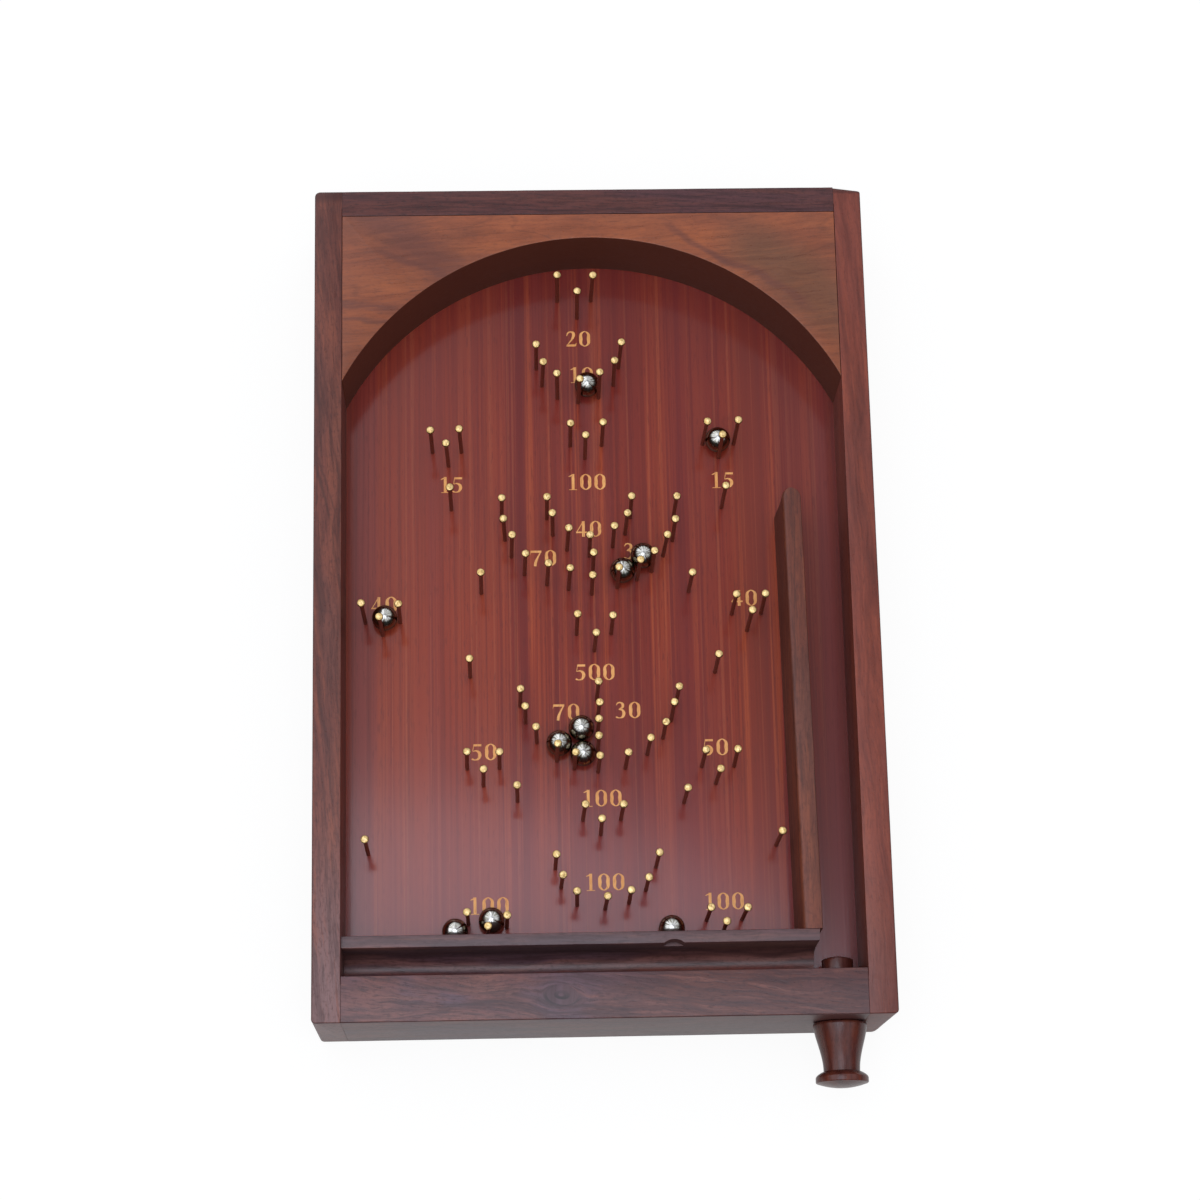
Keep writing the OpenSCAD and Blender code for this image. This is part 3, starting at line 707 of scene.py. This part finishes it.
open_strokes = []
closed_strokes = []
for text, middle_x, middle_y in scores:
    widths = [figures[figure][0] for figure in text]
    whole = sum(widths) + figure_gap * (len(text) - 1)
    pen_x = -whole / 2
    for figure, width in zip(text, widths):
        corner = np.array([middle_x + pen_x * figure_height, middle_y - figure_height / 2])
        for k, plan in enumerate(figures[figure][1]):
            open_strokes.append(printed(stroke(plan), corner, 0.002 * k))
        for plan in figures[figure][2]:
            closed_strokes.append(printed(stroke(plan, loop=True), corner, 0))
        pen_x += width + figure_gap


def gilt():
    """Bronze powder in varnish, screen printed: matt orange-gold, a little thin and rubbed in places."""
    material, start = blank_material("gilt_print")
    place = start.node("ShaderNodeTexCoord", output="Object")
    rubbed = place.mapped(scale=(1900, 420, 1)).noise(1.0, 3.0)
    uneven = place.noise(160.0)
    colour = uneven.between(0.35, 0.65).blend((0.88, 0.42, 0.125), (0.76, 0.32, 0.080))
    colour = colour.coated((rubbed.between(0.56, 0.70), 0.55, (0.36, 0.110, 0.040)))
    return finished(material, start, {"Base Color": colour, "Roughness": rubbed * 0.2 + 0.35, "IOR": 1.5})


gilt_ink = gilt()
open_mesh = tube("score_strokes", *open_strokes)
closed_mesh = tube("score_rounds", *closed_strokes, loop=True)
place_piece("score_strokes", open_mesh, "board", "gilt_print", gilt_ink)
place_piece("score_rounds", closed_mesh, "board", "gilt_print", gilt_ink)

# The arch: one thick hardwood board sawn to a curve, glued down at the top end so that the ball is turned
# over onto the field. Its top is level with the rails and its curved wall is sanded and lacquered.
arch_radius = 105.2
arch_middle_y = 190.2
arch_easing = 0.35
easing_uneven = 0.3


def rounded_top(outer, inner, top, outer_ease, inner_ease, steps=6):
    """The top of a section, from its outer side to its inner one: both corners are quarter circles."""
    quarter = np.linspace(0, np.pi / 2, steps)
    points = [(outer - outer_ease * (1 - np.cos(a)), top - outer_ease * (1 - np.sin(a))) for a in quarter]
    points += [(inner + inner_ease * (1 - np.sin(a)), top - inner_ease * (1 - np.cos(a))) for a in quarter]
    return points


def section_grid(points):
    """A section's points, each with one or both numbers given at every station, as one grid."""
    return np.stack([np.stack(np.broadcast_arrays(*point), -1) for point in points], 1)


def arch_grid():
    """The arch's section, carried round rays from the arch's middle: from the curve out to the case's
    inner walls, with the top arrises eased by quarter circles that shrink to nothing at both tips."""
    reach_x = inner_half - joint_gap
    reach_y = case_length - top_rail - joint_gap - arch_middle_y
    spring = np.arccos(reach_x / arch_radius)
    corner = np.arctan2(reach_y, reach_x)
    turn = np.sort(np.concatenate([np.linspace(spring, np.pi - spring, 181), [corner, np.pi - corner]]))
    outer = np.minimum(reach_x / np.maximum(np.abs(np.cos(turn)), 1e-6), reach_y / np.sin(turn))
    inner = arch_radius + 0.04 * wander(turn * arch_radius, 31)
    inner = np.minimum(inner, outer - 0.001)
    ease = np.minimum(arch_easing * (1 + easing_uneven * wander(turn * arch_radius, 32)), (outer - inner) * 0.4)
    ring = section_grid([
        (inner, board_top), (outer, board_top), *rounded_top(outer, inner, rail_height, ease, ease)])
    return np.stack([ring[..., 0] * np.cos(turn)[:, None], arch_middle_y + ring[..., 0] * np.sin(turn)[:, None],
                     ring[..., 1]], -1)


smoke_brown = (0.140, 0.040, 0.027)
smoke_olive = (0.150, 0.062, 0.030)
arch_smoke = [(-72, 297, -38, 38, 11, 0.82, smoke_brown),
              (-74, 288, -20, 50, 26, 0.32, smoke_brown),
              (-66, 285, -20, 22, 2.0, 0.70, smoke_brown),
              (80, 276, -40, 42, 17, 0.75, smoke_olive),
              (42, 292, -35, 19, 2.0, 0.65, smoke_brown),
              (66, 277.5, -30, 27, 2.6, 0.65, smoke_brown),
              (-86, 268, -6, 22, 3.0, 0.75, smoke_brown),
              (-80, 262, -4, 18, 1.4, 0.75, smoke_brown)]
# The curved wall, being upright, is painted nearly as dark as the grain lines, a painted shade, and its arrises
# darker too; towards its tips the arch is painted a darker tone.
arch_wood = timber("arch_wood", "x", (0.302, 0.077, 0.029), seed=21, slant=-4.0, wild=0.003, band=(30, 110),
                   lively=0.25, upright_shade=0.95, clouds=(-28, 11, 0.45), figure=0.6, cast=(0.72, 0.98, 1.30),
                   shaded=(front_y + 0.235, front_y + 0.290, 0.50, (0.190, 0.048, 0.018)), smoke=arch_smoke,
                   calm=0.45, shine=0.42, streaky=0.4)
place_piece("arch_sawn", tube("arch", arch_grid()), "board", "arch_wood", arch_wood, "arch_block")

# The trough moulding: a dark hardwood strip glued down along the front rail, with a round-bottomed channel
# run along it beside a flat ledge. It catches spent balls, and a finger lifts one out at a gouged nick.
trough_width = extent("trough_moulding", 1)[1] - front_rail
channel_width = 10.3
channel_axis_z = 31.15
_, moulding_top = extent("trough_moulding", 2)
nick_place = 24.5
nick_radius = 5.4
nick_deep = 1.3
nick_half = 3.51
nick_clear = 3.6
nick_floor = 40.0
ledge_easing = 0.42
channel_easing = 0.30
trough_right_front = 76.0
_, trough_right_back = extent("trough_moulding", 0)
moulding_tone = (0.140, 0.054, 0.050)


def trough_grid():
    """The trough's section carried along X: foot, back face, eased ledge, the nick's gouge where there
    is one, the channel's wall and its half-round floor. The right end is cut a little askew."""
    left = -inner_half + joint_gap
    in_nick = np.linspace(-1, 1, 17) * nick_half + nick_place
    before_nick = np.linspace(left, nick_place - nick_clear, 36)
    after_nick = np.linspace(nick_place + nick_clear, trough_right_front, 18)
    run = np.unique(np.concatenate([before_nick, in_nick, after_nick]))
    flat = np.zeros_like(run)
    back = front_rail + trough_width
    wall = front_rail + channel_width
    gouge = front_rail + channel_width + nick_deep - nick_radius
    nick_wall = np.maximum(wall, np.sqrt(np.maximum(nick_radius ** 2 - (run - nick_place) ** 2, 0)) + gouge)
    ease = ledge_easing * (1 + easing_uneven * wander(run, 41))
    ease_in = channel_easing * (1 + easing_uneven * wander(run, 42))
    ring = [(flat + front_rail + joint_gap, board_top), (flat + back, board_top)]
    ring += rounded_top(back, nick_wall, moulding_top, ease, ease_in)
    ring += [(nick_wall, nick_floor), (flat + wall, nick_floor)]
    floor_y = front_rail + channel_width / 2 + joint_gap / 2
    bottom = channel_width / 2 - joint_gap / 2
    ring += [(flat + floor_y + bottom * np.cos(a), channel_axis_z + bottom * np.sin(a))
             for a in np.linspace(0, -np.pi, 25)]
    section = section_grid(ring)
    askew = (trough_right_back - trough_right_front) * (section[..., 0] - front_rail) / trough_width
    reach = trough_right_front + askew - left
    x = left + reach * ((run - left) / (trough_right_front - left))[:, None]
    return np.stack([x, section[..., 0], section[..., 1]], -1)


# The first streak is a painted highlight along the channel's floor; the second is a red-orange streak near the
# front rail and the third a darker blue-grey one along the left of the ledge.
trough_highlight_and_streaks = [(-8, 23.4, 0, 170, 2.2, 0.60, (0.290, 0.125, 0.110)),
                (-8, 20.2, 0, 170, 1.6, 0.52, (0.260, 0.055, 0.034)),
                (-50, 29, 0, 110, 4, 0.70, (0.078, 0.044, 0.053))]
trough_wood = timber("trough_wood", "x", moulding_tone, seed=25, slant=0.6, gloss=0.34, band=(6, 120),
                     smoke=trough_highlight_and_streaks, arris_shade=0.0)
place_piece("trough_moulded", tube("trough", trough_grid()), "board", "fence_wood", trough_wood,
            "trough_moulding")

# The lane divider: a dark hardwood strip with a wider foot, rounded over on the field side and at its far
# end. It is glued down leaning a little away from the right rail, and keeps the shot ball in its lane.
divider_lane_x = 78.2
divider_width = 6.9
divider_foot = 0.7
divider_length = 165.0
divider_lean = 0.6
divider_round = 1.5
divider_uneven = 0.12
divider_easing = 0.35
divider_height = moulding_top - board_top


def divider_grid():
    """The divider's section carried along Y. Over the last half width it narrows along a half circle,
    and its run shifts sideways by its lean."""
    half = (divider_width + divider_foot) / 2
    turn = np.linspace(0, np.pi / 2, 14)
    straight = np.linspace(0.02, divider_length - half, 48)[:-1]
    run = np.concatenate([straight, divider_length - half + half * np.sin(turn)])
    narrow = np.concatenate([np.ones_like(straight), np.maximum(np.cos(turn), 0.002)])
    flat = np.zeros_like(run)
    round_off = divider_round * (1 + divider_uneven * wander(run, 51))
    ease = divider_easing * (1 + easing_uneven * wander(run, 52))
    section = section_grid([
        (flat - divider_width - divider_foot, 0), (flat, 0),
        *rounded_top(0, -divider_width, divider_height, ease, round_off, 8),
        (flat - divider_width, divider_height / 2)])
    across = (section[..., 0] + half) * narrow[:, None] - half
    lean = np.tan(np.radians(divider_lean)) * run[:, None]
    y = front_rail + trough_width + run[:, None] + section[..., 0] * 0
    return np.stack([divider_lane_x + across - lean, y, board_top + section[..., 1]], -1)


divider_smoke = [(75, 190, 90, 80, 16, 0.50, (0.110, 0.020, 0.009))]
# Its rounded edge and arrises are painted a little darker, a painted shade.
divider_wood = timber("divider_wood", "y", (0.170, 0.041, 0.021), seed=28, slant=0.5, gloss=0.38, band=(6, 150),
                      shine=0.36, arris_shade=0.2, cast=(0.80, 1.03, 1.32), smoke=divider_smoke)
place_piece("divider_shaped", tube("divider", divider_grid()), "board", "fence_wood", divider_wood,
            "lane_divider")

# The nails: brass pins with low domed heads, tapped into blind holes by eye, so no two stand quite
# alike. Cups of three, hanging bowls and single guides are laid out round the printed scores.
nail_foot, nail_top = extent("nails_guides", 2)
nail_radius = 0.75
nail_lean = 0.010
nail_lean_most = 0.016
head_radius = 1.5
head_thick = 1.1


def cup(x, y, half_width, drop, lean=0.0):
    """Two nails side by side and one below them."""
    return np.array([(x - half_width, y), (x + half_width, y), (x + lean, y - drop)])


def bowl(x, y, left_width, right_width, depth, count):
    """Nails spaced along half an ellipse that hangs below a place, each side with its own width."""
    turn = np.radians(np.linspace(-90, 90, count))
    reach = np.where(turn < 0, left_width, right_width)
    return np.stack([x + reach * np.sin(turn), y - depth * np.cos(turn)], -1)


def column(x, y, step, count):
    """Nails in a row up the board."""
    return np.stack([np.full(count, x), y + step * np.arange(count)], -1)


def nudged(spots, moves):
    """A row of nails tapped in by eye: some stand off the line by the moves given for their numbers."""
    off = np.zeros_like(spots)
    off[list(moves)] = list(moves.values())
    return spots + off


nail_groups = {
    "nails_top_cup": [cup(-5.5, 282, 6.5, 7, 1)],
    "nails_upper_bowl": [bowl(-4.7, 254.4, 15.8, 15.8, 14, 7)],
    "nails_upper_cups": [cup(-2, 223, 6, 5, -0.5), cup(-55, 221, 5.5, 5.5, 0.5), cup(48.5, 223, 6, 5.5)],
    "nails_outer_funnel": [nudged(bowl(-1, 193.3, 33.5, 31.5, 29.3, 13), {
        2: (-1, 0.5), 3: (-1.5, -0.5), 5: (0, 1), 7: (1.5, 1.5), 8: (1.5, 1.5), 9: (0.5, 0), 11: (0.5, -1)}),
        [(-0.5, 171.8)]],
    "nails_inner_funnel": [nudged(bowl(-1.6, 194, 15.8, 15.8, 15, 7), {
        1: (0, 1), 2: (-0.5, 0.5), 4: (1, 1.5), 5: (0, 1)})],
    "nails_middle_cups": [cup(-79.5, 154, 6.5, 5), cup(57, 155.5, 5.5, 6.5), cup(-0.5, 148.5, 6.5, 6.5)],
    "nails_lower_funnel": [nudged(bowl(0, 121, 28.5, 29.5, 25.4, 11), {
        1: (0.5, 1.5), 2: (0.5, 1), 3: (1.5, -0.5), 6: (1, 0), 7: (1, 1.5), 8: (0.5, 2), 9: (-0.5, 1.5)})],
    "nails_centre_column": [nudged(column(0, 102.5, 6.85, 4), {0: (0, 0.5), 2: (0, -1)})],
    "nails_lower_cups": [cup(-42.5, 97.5, 6, 6.5), cup(44.5, 97, 6, 6.5, -1), cup(1, 77.5, 7, 5.5, -0.5)],
    "nails_bottom_bowl": [nudged(bowl(2, 59.5, 18.5, 18.5, 15.2, 7), {
        1: (-0.5, 0.5), 2: (-1.5, -0.5), 3: (-0.5, 0), 4: (-1, 0), 5: (-1.5, -1)})],
    "nails_bottom_cups": [
        nudged(cup(-41.5, 39, 7, 4.5), {0: (0, 0.5), 1: (0, -1)}), cup(45, 39.5, 6.5, 5.5, -1)],
    "nails_guides": [[(-53.5, 198), (49, 197.5), (-42.5, 165), (35.5, 164.5), (44.5, 133),
                      (-47, 132.5), (-30, 85), (31.5, 83.5), (65, 67), (-85, 66)]],
}


def nail_outline():
    """Radius against height of one pin: a blunt foot, a straight shank, a small fillet under the head,
    a rim rounded by an ellipse and a low top that is an arc of a circle, flattened by the hammer."""
    crown = 0.22
    rim_width = 0.30
    rim_deep = 0.45
    fillet_radius = 0.2
    flat = head_radius - rim_width
    dome_radius = (flat ** 2 + crown ** 2) / (2 * crown)
    full = np.arcsin(flat / dome_radius)
    under = nail_top - head_thick
    fillet = np.linspace(0, np.pi / 2, 4)
    shank = [(0.001, nail_foot), (nail_radius * 0.7, nail_foot), (nail_radius, nail_foot + 1.2),
             (nail_radius, board_top), (nail_radius, under - 0.25)]
    throat = [(nail_radius + fillet_radius * (1 - np.cos(a)), under - fillet_radius * (1 - np.sin(a)))
              for a in fillet[1:]]
    edge = [(head_radius - 0.12, under), (head_radius - 0.03, under + 0.05), (head_radius, under + 0.14)]
    rim_turn = np.linspace(0, np.pi / 2, 6)[:-1]
    edge += [(flat + rim_width * np.cos(a), nail_top - crown - rim_deep * (1 - np.sin(a))) for a in rim_turn]
    dome_turn = full * np.linspace(1.0, 0.0, 6)
    cap = [(max(dome_radius * np.sin(a), 0.001), nail_top - dome_radius * (1 - np.cos(a))) for a in dome_turn]
    return np.array([*shank, *throat, *edge, *cap])


def nail_grids(spots, seed):
    """The pins of a group: the outline turned round each spot, with a lean of its own."""
    rng = np.random.default_rng(seed)
    outline = nail_outline()
    around = np.linspace(0, 2 * np.pi, 16, endpoint=False)
    circle = np.stack([np.cos(around), np.sin(around)], -1)
    lean = rng.normal(0, nail_lean, (len(spots), 2)).clip(-nail_lean_most, nail_lean_most)
    rise = (outline[:, 1] - board_top).clip(0)[None, :, None, None]
    turned = outline[None, :, 0, None, None] * circle[None, None]
    flat = spots[:, None, None, :] + lean[:, None, None, :] * rise + turned
    height = np.broadcast_to(outline[None, :, 1, None, None], (*flat.shape[:3], 1))
    return np.concatenate([flat, height], -1)


def brass():
    """Brass pins under old lacquer: the heads a dented dull gold with patches of grime, their rims and
    undersides painted dark brown as shade, and the shanks painted the matt dark red of the field that
    they mirror, a painted reflection."""
    material, start = blank_material("nail_brass")
    place = start.node("ShaderNodeTexCoord", output="Object")
    height = place.part(2)
    grime = place.noise(700.0, 3.0)
    dents = place.noise(1100.0, 1.0)
    # Painted shade: below the crown the head's rim and underside blend to a dark brown.
    crown = (height + (grime - 0.5) * 0.0003).between((nail_top - 0.42) * MM, (nail_top - 0.03) * MM)
    shank = 1 - height.between((nail_top - 1.5) * MM, (nail_top - 1.0) * MM)
    colour = crown.blend((0.24, 0.13, 0.030), (0.80, 0.58, 0.27))
    # Grime is patchy dirt; the shanks take a matt dark red, a painted reflection of the field.
    colour = colour.coated(
        (grime.between(0.48, 0.60), 0.65, (0.42, 0.27, 0.08)), (shank, 0.97, (0.190, 0.034, 0.020)))
    bump = start.node("ShaderNodeBump", {}, {"Strength": 1.0, "Distance": 0.0004, "Height": dents})
    return finished(material, start, {
        "Base Color": colour, "Metallic": 1 - shank, "Roughness": grime * 0.20 + shank * 0.20 + 0.28,
        "Normal": bump, "Specular IOR Level": 0.2})


nail_metal = brass()
for seed, (node, parts) in enumerate(nail_groups.items()):
    grids = nail_grids(np.concatenate(parts), 60 + seed)
    place_piece(node.replace("nails", "pins"), tube(node, *grids), "board", "nail_brass", nail_metal, node,
                smooth=40)

# The plunger: a turned knob with a waist and an end flange, glued on a rod that runs through the front
# rail to a short drum, the head that strikes the ball. All three are the same reddish varnished wood.
knob_length = -extent("plunger_knob", 1)[0]
knob_bulge = 19.4
knob_neck = 13.1
knob_flange = 19.0
knob_gap = 0.1
knob_shoulder = 0.9
knob_bulge_y = 1.0
knob_neck_y = 17.2
knob_flare_y = 17.6
knob_flange_y = 20.1
knob_rim = 0.5
knob_dome = 1.6
rod_radius = 3.0
rod_near = -14.0
drum_radius = 5.65
head_back, head_front = extent("plunger_head", 1)
head_rim = 0.35
head_dome = 1.2
head_side = 1.45


def lathe(name, radius, along, turns=96):
    """An outline of radius against distance along the plunger's axis, turned round that axis."""
    around = np.linspace(0, 2 * np.pi, turns, endpoint=False)
    radius = np.maximum(radius, 0.001)[:, None]
    grid = np.stack([plunger_x + radius * np.cos(around), along[:, None] + around * 0,
                     plunger_z + radius * np.sin(around)], -1)
    return tube(name, grid)


def knob_outline():
    """The knob from the rail outwards: a rounded shoulder, a belly drawn in to the neck along the square
    of one less a power, a mushroom flare, a rounded rim and an end that is a shallow dome."""
    shoulder = np.linspace(0, np.pi / 2, 10)
    belly = np.linspace(0.03, 1, 30)
    sweep = np.linspace(0, 1, 14)
    rim = np.linspace(0, np.pi / 2, 6)
    first = [(knob_bulge / 2 - knob_shoulder * (1 - np.sin(a)), knob_gap + knob_bulge_y * (1 - np.cos(a)))
             for a in shoulder]
    waist = [((knob_neck + (knob_bulge - knob_neck) * (1 - t ** 1.5) ** 2) / 2,
              knob_bulge_y + (knob_neck_y - knob_bulge_y) * t) for t in belly]
    flare = [((knob_neck + (knob_flange - knob_neck) * (1 - (1 - t) ** 2)) / 2,
              knob_flare_y + (knob_flange_y - knob_flare_y) * t) for t in sweep]
    edge_y = knob_length - knob_dome - knob_rim
    edge = [(knob_flange / 2 - knob_rim * (1 - np.cos(a)), edge_y + knob_rim * np.sin(a)) for a in rim]
    wide = knob_flange / 2 - knob_rim
    dome_radius = (wide ** 2 + knob_dome ** 2) / (2 * knob_dome)
    close = np.arcsin(wide / dome_radius) * np.linspace(0.94, 0, 16)
    end = [(dome_radius * np.sin(a), knob_length - dome_radius * (1 - np.cos(a))) for a in close]
    outline = np.array([(0, knob_gap), (rod_radius, knob_gap), *first, *waist, *flare, *edge, *end])
    return outline[:, 0], -outline[:, 1]


# Its upright faces, most of the knob, rod and head, are painted darker, a painted shade.
knob_wood = timber("knob_wood", "y", (0.112, 0.026, 0.017), seed=33, slant=2.0, gloss=0.22, band=(24, 160),
                   figure=0.6, shine=0.34, wall_rough=0.05, arris_shade=0.0, upright_shade=0.40)
knob_mesh = lathe("plunger_knob", *knob_outline())
place_piece("knob_turned", knob_mesh, "plunger", "knob_wood", knob_wood, "plunger_knob")

rod_far = head_back + 3.0
rod_chamfer = 0.3
rod_outline = np.array([(0, rod_near), (rod_radius, rod_near), (rod_radius, rod_far - rod_chamfer),
                        (rod_radius - rod_chamfer, rod_far), (0, rod_far)])
rod_mesh = lathe("plunger_rod", rod_outline[:, 0], rod_outline[:, 1], 48)
place_piece("rod_turned", rod_mesh, "plunger", "knob_wood", knob_wood, "plunger_rod")

ease = np.linspace(0, np.pi / 2, 6)
drum_dome = (drum_radius ** 2 + head_dome ** 2) / (2 * head_dome)
face_turn = np.arcsin((drum_radius - head_rim) / drum_dome) * np.linspace(1, 0, 12)
drum = [(0, head_back), (rod_radius, head_back)]
drum += [(drum_radius - head_rim * (1 - np.sin(a)), head_back + head_rim * (1 - np.cos(a))) for a in ease]
drum += [(drum_radius - head_rim * (1 - np.cos(a)), head_front - head_side + head_rim * np.sin(a))
         for a in ease]
drum += [(drum_dome * np.sin(a), head_front - drum_dome * (1 - np.cos(a))) for a in face_turn]
drum = np.array(drum)
drum_mesh = lathe("plunger_head", drum[:, 0], drum[:, 1], 80)
place_piece("head_turned", drum_mesh, "plunger", "knob_wood", knob_wood, "plunger_head")

# The spring: five turns of hard-drawn steel wire round the rod, seated in the front rail's counterbore
# and pressed by the head.
wire_radius = 0.35
coil_radius = 4.6
coil_turns = 5


def coil_grid():
    """A wire of round section carried along a helix of even pitch."""
    t = np.linspace(0, 1, coil_turns * 48 + 1)
    turn = 2 * np.pi * coil_turns * t
    low = spring_seat + wire_radius
    high = spring_far - wire_radius
    along = low + (high - low) * t
    around = np.linspace(0, 2 * np.pi, 16, endpoint=False)
    out = coil_radius + wire_radius * np.cos(around)[None, :]
    y = along[:, None] + wire_radius * np.sin(around)[None, :]
    return np.stack([plunger_x + out * np.cos(turn)[:, None], y, plunger_z + out * np.sin(turn)[:, None]], -1)


def spring_wire():
    """Oil-blackened drawn wire, lighter where the turns have rubbed."""
    material, start = blank_material("spring_steel")
    drawn = start.node("ShaderNodeTexCoord", output="Object").noise(1800.0, 3.0)
    colour = drawn.between(0.4, 0.65).blend((0.40, 0.39, 0.38), (0.56, 0.55, 0.54))
    return finished(material, start, {"Base Color": colour, "Metallic": 1.0, "Roughness": drawn * 0.2 + 0.22})


spring_piece = place_piece("spring_wound", tube("spring", coil_grid()), "board", "spring_steel", spring_wire(),
                           "plunger_spring", smooth=60)
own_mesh(spring_piece)

# The balls: eleven ground and polished steel balls of one stock size, clouded and scored by long play.
# Nothing holds them: they lie loose on the field, in cups of nails and against them, where they were left.
ball_radius = 4.75
ball_lift = 0.02
ball_count = 11


def ball_grid(spot):
    """A sphere as rings of points between two poles."""
    rise = np.linspace(-np.pi / 2, np.pi / 2, 49)
    around = np.linspace(0, 2 * np.pi, 72, endpoint=False)
    flat = np.maximum(ball_radius * np.cos(rise), 0.0)[:, None]
    height = board_top + ball_lift + ball_radius + ball_radius * np.sin(rise)
    return np.stack([spot[0] + flat * np.cos(around), spot[1] + flat * np.sin(around),
                     height[:, None] + around * 0], -1)


def polished_steel():
    """Bearing steel, clouded by handling. Each crown keeps a bright steel colour, a painted highlight with a
    ragged edge, and the sides are painted a dark steel, a painted reflection of the dark room and board round
    them. Fine scores run down from the crowns: noise read round the ball's upright axis, the same down each
    side."""
    material, start = blank_material("ball_steel")
    place = start.node("ShaderNodeTexCoord", output="Object")
    breath = place.noise(260.0, 3.0)
    hairline = place.noise(2600.0)
    outward = start.node("ShaderNodeAttribute", {"attribute_name": "outward"}, {}, "Vector")
    upward = outward.part(2)
    level = start.node("ShaderNodeVectorMath", {"operation": "MULTIPLY"}, {0: outward, 1: (1, 1, 0)})
    round_it = start.node("ShaderNodeVectorMath", {"operation": "NORMALIZE"}, {0: level})
    shifted = place.mapped(scale=(70, 70, 70))

    def rays(fineness):
        """Noise that changes round the ball's upright axis and hardly at all down its side."""
        finer = (fineness, fineness, fineness)
        spread = start.node("ShaderNodeVectorMath", {"operation": "MULTIPLY"}, {0: round_it, 1: finer})
        return start.node("ShaderNodeVectorMath", {"operation": "ADD"}, {0: spread, 1: shifted}).noise(1.0)

    broad = rays(2.6)
    thin = rays(7.5)
    # Painted light: above a ragged line the crown keeps the bright steel colour, a painted highlight, and below
    # it the sides are painted dark, a painted reflection.
    rubbed = (upward + (broad - 0.5) * 0.60 + (thin - 0.5) * 0.55).between(0.69, 0.84)
    scored = thin.between(0.475, 0.545) * (1 - upward.between(0.95, 0.999))
    colour = breath.between(0.4, 0.7).blend((0.61, 0.60, 0.56), (0.41, 0.40, 0.36))
    colour = colour.coated((scored, 0.90, (0.20, 0.19, 0.14)))
    colour = rubbed.blend((0.33, 0.30, 0.24), colour)
    return finished(material, start, {
        "Base Color": colour, "Metallic": 1.0, "Specular Tint": (0.30, 0.29, 0.26, 1),
        "Roughness": breath.between(0.5, 0.8) * 0.08 + hairline * 0.04 + rubbed * 0.08 + 0.09})


ball_metal = polished_steel()
for number in range(1, ball_count + 1):
    spot = [middle_of(f"ball_{number}", axis) for axis in (0, 1)]
    ball_mesh = tube(f"ball_{number}", ball_grid(spot))
    middle = bench_place(*spot, board_top + ball_lift + ball_radius)
    surface = np.empty(len(ball_mesh.vertices) * 3)
    ball_mesh.vertices.foreach_get("co", surface)
    outward = (surface.reshape(-1, 3) - np.array(middle)) / (ball_radius * MM)
    ball_mesh.attributes.new("outward", "FLOAT_VECTOR", "POINT").data.foreach_set("vector", outward.ravel())
    place_piece(f"steel_ball_{number}", ball_mesh, f"ball_{number}", "ball_steel", ball_metal, f"ball_{number}",
                smooth=180)
